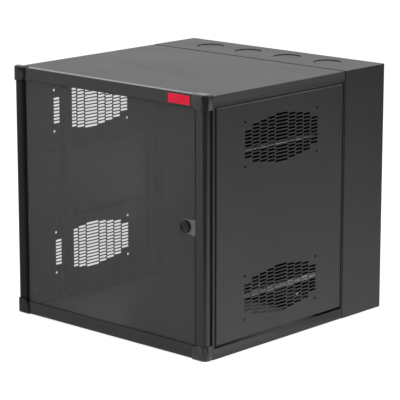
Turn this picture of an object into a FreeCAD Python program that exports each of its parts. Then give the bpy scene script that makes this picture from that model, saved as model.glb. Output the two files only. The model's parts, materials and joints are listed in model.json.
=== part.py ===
import FreeCAD, Part
import math
import os
import re
import Sketcher
from FreeCAD import Placement, Rotation, Vector

# A 12-unit swing-out wall cabinet: a wall section that is screwed to the wall, a main
# body that swings away from it on two lift-off hinges at the left, and a windowed
# front door that turns on pins in its left corner caps.
#
# Frame: +X to the right seen from the front, +Y towards the wall, +Z up. The origin is
# the centre of the four wall screws, on the back face. Millimetres.

DIMENSIONS = [
    # alias, value, meaning
    ("width", 610, "over the side walls"),
    ("height", 590, "of the wall section and of the main body"),
    ("wall_depth", 148, "of the wall section"),
    ("seam", 2, "gap between wall section and main body"),
    ("body_depth", 450, "of the main body"),
    ("steel", 1.5, "sheet of the shells"),
    ("bend", 4, "outer bend radius of the wall shell"),
    ("return_lip", 12, "front flange of the wall shell"),
    ("stud_pitch", 406.4, "wall screws, across"),
    ("screw_rise", 457.2, "wall screws, up"),
    ("screw_hole", 9, "wall screw hole, diameter"),
    ("entry_width", 300, "cable entry in the back"),
    ("entry_height", 170, "cable entry in the back"),
    ("entry_drop", 115, "cable entry's middle, below the back's middle"),
    ("entry_corner", 10, "cable entry corner bevel"),
    ("plate_lip", 14, "flange of the wall section's end plates"),
    ("plate_corner", 4, "corner bevel of the end plates"),
    ("knock_radius", 32.5, "knock-out, middle of its cut"),
    ("knock_cut", 1.2, "width of the knock-out's cut"),
    ("knock_tab", 7, "web that holds a knock-out"),
    ("knock_pitch", 124, "knock-out to knock-out"),
    ("knock_back", 4, "knock-outs behind the plate's middle"),
    ("pan_lip", 25, "lip of the main body's top and bottom"),
    ("pan_edge", 2.5, "rounding of the pans' long edges"),
    ("post_face", 24, "face strip in front of the front post"),
    ("rear_face", 36, "rear post, rear flange"),
    ("post_strip", 6.2, "post strip seen from the side"),
    ("post_seat", 28, "post leg that the side panel seats on"),
    ("panel_depth", 10.5, "side panel, folded depth"),
    ("panel_inset", 1.5, "side panel behind the lips' face"),
    ("panel_sheet", 1.2, "side panel sheet"),
    ("panel_gap", 7, "gap from front post to side panel"),
    ("panel_rear", 2, "gap from side panel to the rear face"),
    ("panel_slit", 4, "gap above and below a side panel"),
    ("slot_height", 4.9, "vent slot"),
    ("slot_pitch", 8.1, "vent slot to vent slot"),
    ("slot_length", 23.4, "vent slot"),
    ("slot_web", 2.6, "metal between vent columns"),
    ("slot_middle", 41.4, "vent slot of the middle column"),
    ("vent_rise", 174, "vent centre from mid-height"),
    ("rack_unit", 44.45, "one rack unit"),
    ("rack_units", 12, "rack units in all"),
    ("rack_clear", 450.85, "between the rack rails"),
    ("rack_holes", 465.1, "hole line to hole line"),
    ("rail_face", 19.6, "rack rail, face"),
    ("rail_side", 39, "rack rail, side"),
    ("rail_sheet", 2, "rack rail sheet"),
    ("rail_setback", 70, "rack rail face behind the body's front"),
    ("square", 9.5, "rack rail's square hole"),
    ("brace_width", 21.5, "depth brace"),
    ("brace_sheet", 2.5, "depth brace"),
    ("brace_high", 157.5, "right side's upper brace above mid-height"),
    ("brace_low", -177, "right side's lower brace from mid-height"),
    ("left_brace_high", 85, "left side's upper brace, clear of the vents"),
    ("left_brace_low", -85, "left side's lower brace, clear of the vents"),
    ("brace_start", 10, "brace end behind the body's front"),
    ("bracket_sheet", 2, "rail bracket"),
    ("bracket_drop", 28, "rail bracket's leg on the rail"),
    ("bolt_head", 10, "hexagon head across flats"),
    ("bolt_thick", 4, "hexagon head"),
    ("barrel", 6.5, "swing hinge barrel radius"),
    ("barrel_out", 7, "swing hinge axis outside the side wall"),
    ("knuckle", 30, "swing hinge barrel length"),
    ("swing_pin", 3, "swing hinge pin radius"),
    ("running", 0.05, "radial clearance of a pin that turns"),
    ("leaf_sheet", 2.5, "hinge leaf"),
    ("leaf_reach", 40, "hinge leaf from the axis"),
    ("hinge_rise", 190, "swing hinge from mid-height"),
    ("barrel_gap", 0.3, "gap between a swing hinge's barrels"),
    ("door_over", 4, "door above the body's top"),
    ("door_gap", 6, "groove between body and door"),
    ("door_thick", 15.5, "door stile"),
    ("stile_width", 36, "door stile"),
    ("stile_roll", 12, "stile's rolled edge, outer radius"),
    ("stile_return", 13, "stile's rear return"),
    ("stile_lip", 6, "sloping inner lip of the stile, across"),
    ("stile_drop", 4, "sloping inner lip of the stile, back"),
    ("door_sheet", 1.5, "sheet of the door frame"),
    ("rail_height", 29, "door rail"),
    ("rail_lift", 1.5, "door rail inside the caps' ends"),
    ("rail_step", 1, "door rail behind the stile's face"),
    ("cap_height", 34, "corner cap"),
    ("cap_width", 40, "corner cap"),
    ("cap_proud", 2.5, "corner cap in front of the stile"),
    ("cap_roll", 13.5, "corner cap's outer edge, over the stile's"),
    ("cap_round", 4, "corner cap's end"),
    ("cap_curve", 16, "corner cap's inner corner"),
    ("cap_cover", 5.3, "latch-side cap over the groove"),
    ("stile_inset", 3, "stile inside the cap's side"),
    ("window_thick", 3, "door window"),
    ("window_front", 14.5, "window's face in front of the body"),
    ("rebate_play", 0.5, "room round the window's corner in a cap"),
    ("window_lap", 9, "window behind the frame"),
    ("pivot_in", 11, "door pivot from the left side"),
    ("pivot_front", 15.5, "door pivot in front of the body"),
    ("pivot_pin", 3, "door pivot pin radius"),
    ("tab_eye", 5.5, "hinge tab's eye radius"),
    ("tab_sheet", 3, "hinge tab"),
    ("tab_play", 0.5, "hinge tab's slot above and below it"),
    ("tab_room", 0.7, "hinge tab's slit round its eye"),
    ("tab_level", 15, "hinge tab from the door's end"),
    ("cap_floor", 3, "cap's wall over the pivot pin"),
    ("knob_in", 64, "knob centre from the right side"),
    ("knob_radius", 15, "turning knob"),
    ("knob_height", 13, "turning knob"),
    ("spindle", 5, "knob spindle radius"),
    ("latch_front", 39, "latch plate at the stile"),
    ("latch_sheet", 2, "latch plate"),
    ("latch_round", 16.5, "latch plate around the knob"),
    ("knob_play", 0.3, "gap behind the knob"),
    ("knob_soft", 2.5, "knob's rim rounding"),
    ("cam_reach", 49, "door cam from its spindle"),
    ("cam_width", 14, "cam"),
    ("cam_sheet", 2.5, "cam"),
    ("cam_back", 2.4, "cam behind the body's front face"),
    ("cam_square", 7, "square end of the door's spindle"),
    ("clips", 4, "window clips on each rail"),
    ("clip_width", 20, "window clip"),
    ("swing_latch_rise", 120, "swing latch from mid-height"),
    ("swing_latch_in", 25, "swing latch from the right side"),
    ("swing_spindle", 4, "swing latch spindle radius"),
    ("swing_square", 5.5, "square end of the swing latch spindle"),
    ("swing_cam_reach", 21, "swing latch cam"),
    ("swing_cam_gap", 0.5, "swing latch cam behind the wall shell's return"),
    ("wing_half", 10, "half length of the swing latch's wing"),
    ("wing_thick", 4, "swing latch wing"),
    ("wing_height", 12, "swing latch wing"),
    ("swing_cam_width", 11, "swing latch cam"),
]

FRONT = "-wall_depth - seam - body_depth"  # front face of the main body

doc = FreeCAD.newDocument("wall_cabinet")
sheet = doc.addObject("Spreadsheet::Sheet", "Dims")
SIZES = {alias: value for alias, value, _ in DIMENSIONS}
for row, (alias, value, meaning) in enumerate(DIMENSIONS, start=1):
    sheet.set(f"A{row}", meaning)
    sheet.set(f"B{row}", str(value))
    sheet.setAlias(f"B{row}", alias)
doc.recompute()


def size(words):
    """Turn a formula in the sheet's own words into an expression on the sheet."""
    return re.sub(r"[a-z_]+", lambda word: "Dims." + word.group(0), str(words))


def bind(item, **formulas):
    """Bind properties of an object to formulas; a double underscore stands for a dot."""
    for name, words in formulas.items():
        item.setExpression(name.replace("__", "."), size(words))


def place(item, x=0, y=0, z=0, turn=None):
    """Put an object where three formulas say, after an optional turn (axis, degrees)."""
    if turn:
        item.Placement = Placement(Vector(0, 0, 0), Rotation(*turn))
    bind(item, Placement__Base__x=x, Placement__Base__y=y, Placement__Base__z=z)


def new_body(label):
    """Start a PartDesign body whose label names its file."""
    body = doc.addObject("PartDesign::Body", label)
    body.Label = label
    return body


def new_sketch(body, name, plane, offset=0):
    """Attach an empty sketch to one of the body's own origin planes."""
    sketch = body.newObject("Sketcher::SketchObject", name)
    origin = next(item for item in body.Origin.OriginFeatures if item.Role == plane)
    sketch.AttachmentSupport = [(origin, "")]
    sketch.MapMode = "FlatFace"
    bind(sketch, AttachmentOffset__Base__z=offset)
    return sketch


def pin_point(sketch, geometry, point, across, up):
    """Hold one point of a sketch at two formulas from the sketch's origin."""
    for kind, words in (("DistanceX", across), ("DistanceY", up)):
        number = sketch.addConstraint(Sketcher.Constraint(kind, -1, 1, geometry, point, 1.0))
        sketch.setExpression(f"Constraints[{number}]", size(words))


def draw_polygon(sketch, corners):
    """Draw a closed polygon whose corners are pairs of formulas."""
    count = len(corners)
    first = sketch.GeometryCount
    for turn in range(count):
        start = Vector(turn + 1, (turn + 1) ** 2, 0)
        end = Vector(turn + 2, (turn + 2) ** 2, 0)
        sketch.addGeometry(Part.LineSegment(start, end), False)
    for turn in range(count):
        follower = first + (turn + 1) % count
        sketch.addConstraint(Sketcher.Constraint("Coincident", first + turn, 2, follower, 1))
    for turn, (across, up) in enumerate(corners):
        pin_point(sketch, first + turn, 1, across, up)


def box_corners(left, low, right, high):
    """Give the four corners of a rectangle from formulas for its sides."""
    return [(left, low), (right, low), (right, high), (left, high)]


def draw_circle(sketch, across, up, radius):
    """Draw a circle from formulas for its centre and radius."""
    ring = sketch.addGeometry(Part.Circle(Vector(0, 0, 0), Vector(0, 0, 1), 1.0), False)
    pin_point(sketch, ring, 3, across, up)
    number = sketch.addConstraint(Sketcher.Constraint("Radius", ring, 1.0))
    sketch.setExpression(f"Constraints[{number}]", size(radius))


def pad(body, sketch, length, back=False, middle=False):
    """Pad a sketch by a formula, along its normal or against it."""
    feature = body.newObject("PartDesign::Pad", sketch.Name + "_pad")
    feature.Profile = sketch
    feature.Reversed = back
    feature.Midplane = middle
    bind(feature, Length=length)
    return feature


def pocket(body, sketch, length, back=False, middle=False):
    """Cut a sketch into the body by a formula, along its normal if back is set."""
    feature = body.newObject("PartDesign::Pocket", sketch.Name + "_pocket")
    feature.Profile = sketch
    feature.Reversed = back
    feature.Midplane = middle
    bind(feature, Length=length)
    return feature


def repeat(body, original, *rows):
    """Repeat a feature along one or more axes: each row is (axis, count, step)."""
    grid = body.newObject("PartDesign::MultiTransform", original.Name + "_rows")
    grid.Originals = [original]
    steps = []
    for axis, count, step in rows:
        line = body.newObject("PartDesign::LinearPattern", original.Name + "_row")
        origin = next(item for item in body.Origin.OriginFeatures if item.Role == axis)
        line.Direction = (origin, [""])
        bind(line, Length=f"({step}) * ({count} - 1)", Occurrences=count)
        steps.append(line)
    grid.Transformations = steps
    body.Tip = grid
    return grid


def round_edges(body, radius, chosen):
    """Round the edges of the body's tip that a test on an edge chooses."""
    doc.recompute()
    tip = body.Tip
    names = [f"Edge{number}" for number, edge in enumerate(tip.Shape.Edges, start=1) if chosen(edge)]
    if not names:
        raise RuntimeError(f"{body.Label}: no edge to round")
    feature = body.newObject("PartDesign::Fillet", body.Name + "_round")
    feature.Base = (tip, names)
    bind(feature, Radius=radius)
    return feature


def bevel_edges(body, width, chosen):
    """Bevel the edges of the body's tip that a test on an edge chooses."""
    doc.recompute()
    tip = body.Tip
    names = [f"Edge{number}" for number, edge in enumerate(tip.Shape.Edges, start=1) if chosen(edge)]
    if not names:
        raise RuntimeError(f"{body.Label}: no edge to bevel")
    feature = body.newObject("PartDesign::Chamfer", body.Name + "_bevel")
    feature.Base = (tip, names)
    bind(feature, Size=width)
    return feature


def runs_along(edge, axis):
    """Tell whether a straight edge runs along one axis, 0 for X, 1 for Y, 2 for Z."""
    if not isinstance(edge.Curve, Part.Line):
        return False
    return abs(abs(edge.Curve.Direction[axis]) - 1) < 1e-6


def prism(label, plane, corners, length, offset=0, back=False, middle=False):
    """Make a body by padding one closed polygon."""
    body = new_body(label)
    sketch = new_sketch(body, label + "_outline", plane, offset)
    draw_polygon(sketch, corners)
    pad(body, sketch, length, back, middle)
    return body


def mirrored(label, source, normal):
    """Make the opposite hand of an object by mirroring it through the origin."""
    twin = doc.addObject("Part::Mirroring", label)
    twin.Label = label
    twin.Source = source
    twin.Normal = normal
    return twin


def joined(label, pieces):
    """Put like pieces of one body, which stand apart, under one label and in one file."""
    group = doc.addObject("Part::Compound", label)
    group.Label = label
    group.Links = pieces
    return group


def bore(body, name, plane, across, up, radius, depth, offset=0, back=False, middle=False):
    """Cut one round hole."""
    sketch = new_sketch(body, name, plane, offset)
    draw_circle(sketch, across, up, radius)
    return pocket(body, sketch, depth, back, middle)


# ---------------------------------------------------------------- wall section


def make_wall_shell():
    """Fold the wall section's back, sides and front returns from one sheet."""
    side, deep = "width / 2", "-wall_depth"
    inner = "(width / 2 - steel)"
    edge = "(width / 2 - return_lip)"
    corners = [(f"-{edge}", deep), (f"-{side}", deep), (f"-{side}", 0), (side, 0), (side, deep),
               (edge, deep), (edge, f"{deep} + steel"), (inner, f"{deep} + steel"),
               (inner, "-steel"), (f"-{inner}", "-steel"), (f"-{inner}", f"{deep} + steel"),
               (f"-{edge}", f"{deep} + steel")]
    shell = prism("wall_shell", "XY_Plane", corners, "height", middle=True)
    half = SIZES["width"] / 2
    round_edges(shell, "bend", lambda edge: runs_along(edge, 2)
                and abs(abs(edge.CenterOfMass.x) - half) < 0.1)
    hole = bore(shell, "wall_screw", "XZ_Plane", "-stud_pitch / 2", "-screw_rise / 2",
                "screw_hole / 2", "3 * steel", middle=True)
    repeat(shell, hole, ("X_Axis", "2", "stud_pitch"), ("Z_Axis", "2", "screw_rise"))
    entry = new_sketch(shell, "cable_entry", "XZ_Plane")
    draw_polygon(entry, box_corners("-entry_width / 2", "-entry_drop - entry_height / 2",
                                    "entry_width / 2", "-entry_drop + entry_height / 2"))
    pocket(shell, entry, "3 * steel", middle=True)
    reach = SIZES["entry_width"] / 2
    rise = SIZES["entry_height"] / 2
    bevel_edges(shell, "entry_corner", lambda edge: runs_along(edge, 1)
                and abs(abs(edge.CenterOfMass.x) - reach) < 0.1
                and abs(abs(edge.CenterOfMass.z + SIZES["entry_drop"]) - rise) < 0.1)
    return shell


KNOCK_SIDES = 6  # straight sides of each half of a knock-out's cut


def cut_corners(reach, near, far, cut):
    """List the corners of a rectangle, centred in X, whose own corners are cut off."""
    return [(f"-{reach}", f"{near} + {cut}"), (f"-{reach} + {cut}", near),
            (f"{reach} - {cut}", near), (reach, f"{near} + {cut}"),
            (reach, f"{far} - {cut}"), (f"{reach} - {cut}", far),
            (f"-{reach} + {cut}", far), (f"-{reach}", f"{far} - {cut}")]


def draw_half_ring(sketch, up):
    """Draw one half of a knock-out's cut: a band of short sides that ends at the two webs."""
    across, depth = "-1.5 * knock_pitch", "-wall_depth / 2 + knock_back"
    web = math.asin(SIZES["knock_tab"] / 2 / SIZES["knock_radius"])
    turns = [web + (math.pi - 2 * web) * step / KNOCK_SIDES for step in range(KNOCK_SIDES + 1)]
    side = 1 if up else -1
    outer = [("(knock_radius + knock_cut / 2)", turn) for turn in turns]
    inner = [("(knock_radius - knock_cut / 2)", turn) for turn in reversed(turns)]
    draw_polygon(sketch, [(f"{across} + {radius} * {math.cos(turn):.5f}",
                           f"{depth} + {radius} * {side * math.sin(turn):.5f}")
                          for radius, turn in outer + inner])


def make_end_plate(label):
    """Make the wall section's top: a shallow tray with a row of knock-outs."""
    plate = new_body(label)
    outline = new_sketch(plate, label + "_outline", "XY_Plane")
    draw_polygon(outline, cut_corners("(width / 2 - steel)", "-wall_depth + steel", "-steel",
                                      "plate_corner"))
    pad(plate, outline, "plate_lip", back=True)
    hollow = new_sketch(plate, label + "_hollow", "XY_Plane", "-plate_lip")
    draw_polygon(hollow, cut_corners("(width / 2 - 2 * steel)", "-wall_depth + 2 * steel", "-2 * steel",
                                     "(plate_corner - 0.6 * steel)"))
    pocket(plate, hollow, "plate_lip - steel", back=True)
    ring = new_sketch(plate, label + "_knockout", "XY_Plane")
    draw_half_ring(ring, up=True)
    draw_half_ring(ring, up=False)
    cut = pocket(plate, ring, "2 * steel")
    repeat(plate, cut, ("X_Axis", "4", "knock_pitch"))
    place(plate, z="height / 2")
    return plate


# ---------------------------------------------------------------- main body


def make_pan(label):
    """Make the main body's top: a pan with a deep lip all round."""
    pan = new_body(label)
    outline = new_sketch(pan, label + "_outline", "XY_Plane")
    draw_polygon(outline, box_corners("-width / 2", "-body_depth", "width / 2", 0))
    pad(pan, outline, "pan_lip", back=True)
    round_edges(pan, "pan_edge", lambda edge: abs(edge.CenterOfMass.z) < 0.01)
    hollow = new_sketch(pan, label + "_hollow", "XY_Plane", "-pan_lip")
    inside = "(width / 2 - steel)"
    draw_polygon(hollow, box_corners(f"-{inside}", "-body_depth + steel", inside, "-steel"))
    pocket(pan, hollow, "pan_lip - steel", back=True)
    place(pan, y="-wall_depth - seam", z="height / 2")
    return pan


def make_face_strip(label):
    """Make the right face strip, welded in front of the post: the door's cam turns behind it."""
    strip = prism(label, "XY_Plane", box_corners("-post_face", 0, 0, "steel"),
                  "height - 2 * pan_lip", middle=True)
    place(strip, x="width / 2", y=FRONT)
    return strip


def make_front_post(label):
    """Fold the right front post: narrow side strip, return and seat for the panel."""
    inner = "-(panel_inset + panel_depth)"
    corners = [(0, "steel"), (0, "post_strip"), (inner, "post_strip"),
               (inner, "post_strip + post_seat"), (f"{inner} - steel", "post_strip + post_seat"),
               (f"{inner} - steel", "post_strip - steel"), ("-steel", "post_strip - steel"),
               ("-steel", "steel")]
    post = prism(label, "XY_Plane", corners, "height - 2 * pan_lip", middle=True)
    place(post, x="width / 2", y=FRONT)
    return post


def make_rear_post(label):
    """Fold the right rear post: rear flange and the leg that the side panel lies on."""
    inner = "-(panel_inset + panel_depth)"
    corners = [("-rear_face", 0), ("-rear_face", "-steel"), (f"{inner} - steel", "-steel"),
               (f"{inner} - steel", "-post_seat"), (inner, "-post_seat"),
               (inner, "-panel_rear"), (0, "-panel_rear"), (0, 0)]
    post = prism(label, "XY_Plane", corners, "height - 2 * pan_lip", middle=True)
    place(post, x="width / 2", y="-wall_depth - seam")
    return post


VENT_COLUMNS = [
    # slots in the column, its place out from the middle column, its slot's length
    (14, "0", "slot_middle"),
    (13, "(slot_middle + slot_length) / 2 + slot_web", "slot_length"),
    (12, "(slot_middle + 3 * slot_length) / 2 + 2 * slot_web", "slot_length"),
    (11, "(slot_middle + 5 * slot_length) / 2 + 3 * slot_web", "slot_length"),
    (8, "(slot_middle + 7 * slot_length) / 2 + 4 * slot_web", "slot_length"),
]


def cut_vent_column(panel, slots, out, length):
    """Cut one column of slots, its twin on the other side, and both again in the other vent."""
    sketch = new_sketch(panel, f"{panel.Name}_column_{slots}", "YZ_Plane")
    low = f"-vent_rise - ({slots} - 1) / 2 * slot_pitch"
    draw_polygon(sketch, box_corners(f"-({out}) - {length} / 2", f"{low} - slot_height / 2",
                                     f"-({out}) + {length} / 2", f"{low} + slot_height / 2"))
    slot = pocket(panel, sketch, "3 * panel_sheet", middle=True)
    rows = [("Z_Axis", str(slots), "slot_pitch"), ("Z_Axis", "2", "2 * vent_rise")]
    if out != "0":
        rows.insert(1, ("Y_Axis", "2", f"2 * ({out})"))
    repeat(panel, slot, *rows)


def make_side_panel(label):
    """Make the right side panel: a folded tray with two fields of vent slots in stepped columns."""
    panel = new_body(label)
    long = "(body_depth - post_strip - panel_gap - panel_rear)"
    tall = "(height - 2 * pan_lip - 2 * panel_slit)"
    outline = new_sketch(panel, label + "_outline", "YZ_Plane")
    draw_polygon(outline, box_corners(f"-{long} / 2", f"-{tall} / 2", f"{long} / 2", f"{tall} / 2"))
    pad(panel, outline, "panel_depth", back=True)
    hollow = new_sketch(panel, label + "_hollow", "YZ_Plane", "-panel_depth")
    draw_polygon(hollow, box_corners(f"-{long} / 2 + panel_sheet", f"-{tall} / 2 + panel_sheet",
                                     f"{long} / 2 - panel_sheet", f"{tall} / 2 - panel_sheet"))
    pocket(panel, hollow, "panel_depth - panel_sheet", back=True)
    for slots, out, length in VENT_COLUMNS:
        cut_vent_column(panel, slots, out, length)
    place(panel, x="width / 2 - panel_inset", y=f"-wall_depth - seam - panel_rear - {long} / 2")
    return panel


def make_rack_rail(label):
    """Fold the right rack rail, an angle, and punch three square holes in each rack unit."""
    side, out = "(rack_clear / 2)", "(rack_clear / 2 + rail_face)"
    corners = [(side, 0), (out, 0), (out, "rail_side"), (f"{out} - rail_sheet", "rail_side"),
               (f"{out} - rail_sheet", "rail_sheet"), (side, "rail_sheet")]
    rail = prism(label, "XY_Plane", corners, "rack_unit * rack_units", middle=True)
    sketch = new_sketch(rail, label + "_squares", "XZ_Plane")
    for rise in ("rack_unit / 7", "rack_unit / 2", "rack_unit * 6 / 7"):
        low = f"-rack_unit * rack_units / 2 + {rise} - square / 2"
        draw_polygon(sketch, box_corners("rack_holes / 2 - square / 2", low,
                                         "rack_holes / 2 + square / 2", f"{low} + square"))
    squares = pocket(rail, sketch, "3 * rail_sheet", middle=True)
    repeat(rail, squares, ("Z_Axis", "rack_units", "rack_unit"))
    place(rail, y=f"{FRONT} + rail_setback")
    return rail


def make_depth_brace(label, level):
    """Make a flat bar that joins the right posts and carries the rack rail."""
    outer = "(width / 2 - panel_inset - panel_depth - steel)"
    corners = box_corners(f"{outer} - brace_width", f"{FRONT} + brace_start",
                          outer, "-wall_depth - seam - 2 * steel")
    brace = prism(label, "XY_Plane", corners, "brace_sheet", back=True)
    place(brace, z=level)
    return brace


def make_rail_bracket(label, level):
    """Fold the angle that ties the right rack rail's side to a depth brace."""
    rail = "(rack_clear / 2 + rail_face)"
    reach = "(width / 2 - panel_inset - panel_depth - steel)"
    corners = [(rail, "bracket_sheet"), (rail, "-bracket_drop"),
               (f"{rail} + bracket_sheet", "-bracket_drop"), (f"{rail} + bracket_sheet", 0),
               (reach, 0), (reach, "bracket_sheet")]
    bracket = prism(label, "XZ_Plane", corners, "rail_side - rail_sheet", back=True)
    place(bracket, y=f"{FRONT} + rail_setback + rail_sheet", z=level)
    return bracket


def hexagon_head(centre, direction):
    """Make one hexagon bolt head that stands on a face at a point."""
    radius = SIZES["bolt_head"] / 3 ** 0.5
    turn = Rotation(Vector(0, 0, 1), direction)
    corners = [centre + turn.multVec(Rotation(Vector(0, 0, 1), 60 * step).multVec(Vector(radius, 0, 0)))
               for step in range(6)]
    face = Part.Face(Part.makePolygon(corners + corners[:1]))
    return face.extrude(direction * SIZES["bolt_thick"])


def make_rail_bolts():
    """Put a bolt head on each leg of every rail bracket, all in one group."""
    rail = SIZES["rack_clear"] / 2 + SIZES["rail_face"]
    reach = SIZES["width"] / 2 - SIZES["panel_inset"] - SIZES["panel_depth"] - SIZES["steel"]
    front = -SIZES["wall_depth"] - SIZES["seam"] - SIZES["body_depth"] + SIZES["rail_setback"]
    middle = front + SIZES["rail_sheet"] + (SIZES["rail_side"] - SIZES["rail_sheet"]) / 2
    heads = []
    for sign, side in ((1, ""), (-1, "left_")):
        for level in (SIZES[side + "brace_high"], SIZES[side + "brace_low"]):
            foot = Vector(sign * (reach - SIZES["brace_width"] / 2), middle, level + SIZES["bracket_sheet"])
            heads.append(hexagon_head(foot, Vector(0, 0, 1)))
            leg = Vector(sign * (rail + SIZES["bracket_sheet"]), middle,
                         level - SIZES["bracket_drop"] / 2)
            heads.append(hexagon_head(leg, Vector(sign, 0, 0)))
    bolts = doc.addObject("Part::Feature", "rail_bolts")
    bolts.Label = "rail_bolts"
    bolts.Shape = Part.makeCompound(heads)
    bolts.Placement = Placement(Vector(0, 0, 0), Rotation())
    return bolts


# ---------------------------------------------------------------- swing hinges and latches


def make_swing_leaf(label, level, on_wall):
    """Make one leaf of a lift-off hinge; the wall's leaf has the lower barrel."""
    leaf = new_body(label)
    start = "0" if on_wall else "barrel_gap"
    length = "knuckle" if on_wall else f"knuckle - ({start})"
    barrel = new_sketch(leaf, label + "_barrel", "XY_Plane", start)
    draw_circle(barrel, 0, 0, "barrel")
    pad(leaf, barrel, length, back=on_wall)
    bridge = new_sketch(leaf, label + "_bridge", "XY_Plane", start)
    front, rear = ("0", "barrel + 2") if on_wall else ("-barrel - 2", "0")
    draw_polygon(bridge, box_corners("barrel_out - leaf_sheet", front, "barrel_out", rear))
    pad(leaf, bridge, length, back=on_wall)
    plate = new_sketch(leaf, label + "_plate", "XY_Plane")
    front, rear = ("barrel + 1", "leaf_reach") if on_wall else ("-leaf_reach", "-barrel - 1")
    draw_polygon(plate, box_corners("barrel_out - leaf_sheet", front, "barrel_out", rear))
    pad(leaf, plate, "2 * knuckle", middle=True)
    radius = "swing_pin" if on_wall else "swing_pin + running"
    bore(leaf, label + "_bore", "XY_Plane", 0, 0, radius, "3 * knuckle", middle=True)
    place_at_swing_axis(leaf, level)
    return leaf


def place_at_swing_axis(item, level):
    """Put a hinge piece on the swing axis, at a height given by a formula."""
    place(item, x="-width / 2 - barrel_out", y="-wall_depth - seam / 2", z=level)


def make_swing_pin(label, level):
    """Make the hinge pin: pressed into the lower barrel, a little short of the upper one's end."""
    pin = new_body(label)
    outline = new_sketch(pin, label + "_outline", "XY_Plane")
    draw_circle(outline, 0, 0, "swing_pin")
    pad(pin, outline, "2 * knuckle - 4", middle=True)
    place_at_swing_axis(pin, level)
    return pin


def revolve(body, sketch):
    """Turn a profile drawn in the XZ plane once round the body's Z axis."""
    feature = body.newObject("PartDesign::Revolution", sketch.Name + "_turned")
    feature.Profile = sketch
    axis = next(item for item in body.Origin.OriginFeatures if item.Role == "Z_Axis")
    feature.ReferenceAxis = (axis, [""])
    feature.Angle = 360
    return feature


def make_cam(label, reach, width, square, thick):
    """Make a cam that points down: a bevelled strap with a square hole for the spindle's end."""
    cam = new_body(label)
    strap = new_sketch(cam, label + "_strap", "XZ_Plane")
    side, corner = f"{width} / 2", f"{width} / 4"
    draw_polygon(strap, [(f"-{side}", corner), (f"-{corner}", side), (corner, side), (side, corner),
                         (side, f"-{reach} + {corner}"), (corner, f"-{reach}"),
                         (f"-{corner}", f"-{reach}"), (f"-{side}", f"-{reach} + {corner}")])
    pad(cam, strap, thick, back=True)
    hole = new_sketch(cam, label + "_hole", "XZ_Plane")
    draw_polygon(hole, box_corners(f"-{square} / 2", f"-{square} / 2", f"{square} / 2", f"{square} / 2"))
    pocket(cam, hole, f"3 * {thick}", middle=True)
    return cam


SWING_LATCH_X = "width / 2 - swing_latch_in"
SWING_CAM_Y = "-wall_depth + steel + swing_cam_gap"


def make_swing_latch_cam(label, level):
    """Make the cam that turns behind the wall shell's right return."""
    cam = make_cam(label, "swing_cam_reach", "swing_cam_width", "swing_square", "cam_sheet")
    place(cam, x=SWING_LATCH_X, y=SWING_CAM_Y, z=level)
    return cam


def make_swing_latch_wing(label, level):
    """Make the wing knob and its spindle, which goes through the rear post's flange."""
    wing = new_body(label)
    spindle = new_sketch(wing, label + "_spindle", "XZ_Plane", "steel + knob_play")
    draw_circle(spindle, 0, 0, "swing_spindle")
    pad(wing, spindle, "2 * steel + seam + knob_play + swing_cam_gap", back=True)
    square = new_sketch(wing, label + "_square", "XZ_Plane", "-seam - steel - swing_cam_gap")
    edge = "swing_square / 2"
    draw_polygon(square, box_corners(f"-{edge}", f"-{edge}", edge, edge))
    pad(wing, square, "cam_sheet", back=True)
    blade = new_sketch(wing, label + "_blade", "YZ_Plane")
    near, far = "-steel - knob_play", "(-steel - knob_play - wing_height)"
    draw_polygon(blade, [(near, "-swing_spindle"), (near, "swing_spindle"), (f"{far} / 2", "wing_half"),
                         (far, "wing_half"), (far, "-wing_half"), (f"{far} / 2", "-wing_half")])
    pad(wing, blade, "wing_thick", middle=True)
    place(wing, x=SWING_LATCH_X, y="-wall_depth - seam", z=level)
    return wing


# ---------------------------------------------------------------- door


def make_stile(label):
    """Roll the right stile: side face, rolled edge, flat face and a sloping inner lip."""
    out, inside = "-stile_inset", "(-stile_inset - door_sheet)"
    rear, face = "-door_gap", "(-door_gap - door_thick)"
    lip = "(-stile_width + stile_lip)"
    corners = [(out, rear), (out, face), (lip, face), ("-stile_width", f"{face} + stile_drop"),
               ("-stile_width", "-window_front"), ("-stile_width + door_sheet", "-window_front"),
               ("-stile_width + door_sheet", f"{face} + stile_drop + door_sheet / 2"),
               (f"{lip} + door_sheet / 2", f"{face} + door_sheet"), (inside, f"{face} + door_sheet"),
               (inside, f"{rear} - door_sheet"), ("-stile_inset - stile_return", f"{rear} - door_sheet"),
               ("-stile_inset - stile_return", rear)]
    stile = prism(label, "XY_Plane", corners, "height + door_over - 2 * cap_height", middle=True)
    outer, front = -SIZES["stile_inset"], -SIZES["door_gap"] - SIZES["door_thick"]
    wall = SIZES["door_sheet"]
    round_edges(stile, "stile_roll", lambda edge: runs_along(edge, 2)
                and stands_at(edge, outer, front))
    round_edges(stile, "stile_roll - door_sheet", lambda edge: runs_along(edge, 2)
                and stands_at(edge, outer - wall, front + wall))
    place(stile, x="width / 2", y=FRONT, z="door_over / 2")
    return stile


def stands_at(edge, across, deep):
    """Tell whether an edge's middle lies at a place seen from above."""
    middle = edge.CenterOfMass
    return abs(middle.x - across) < 0.05 and abs(middle.y - deep) < 0.05


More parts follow.
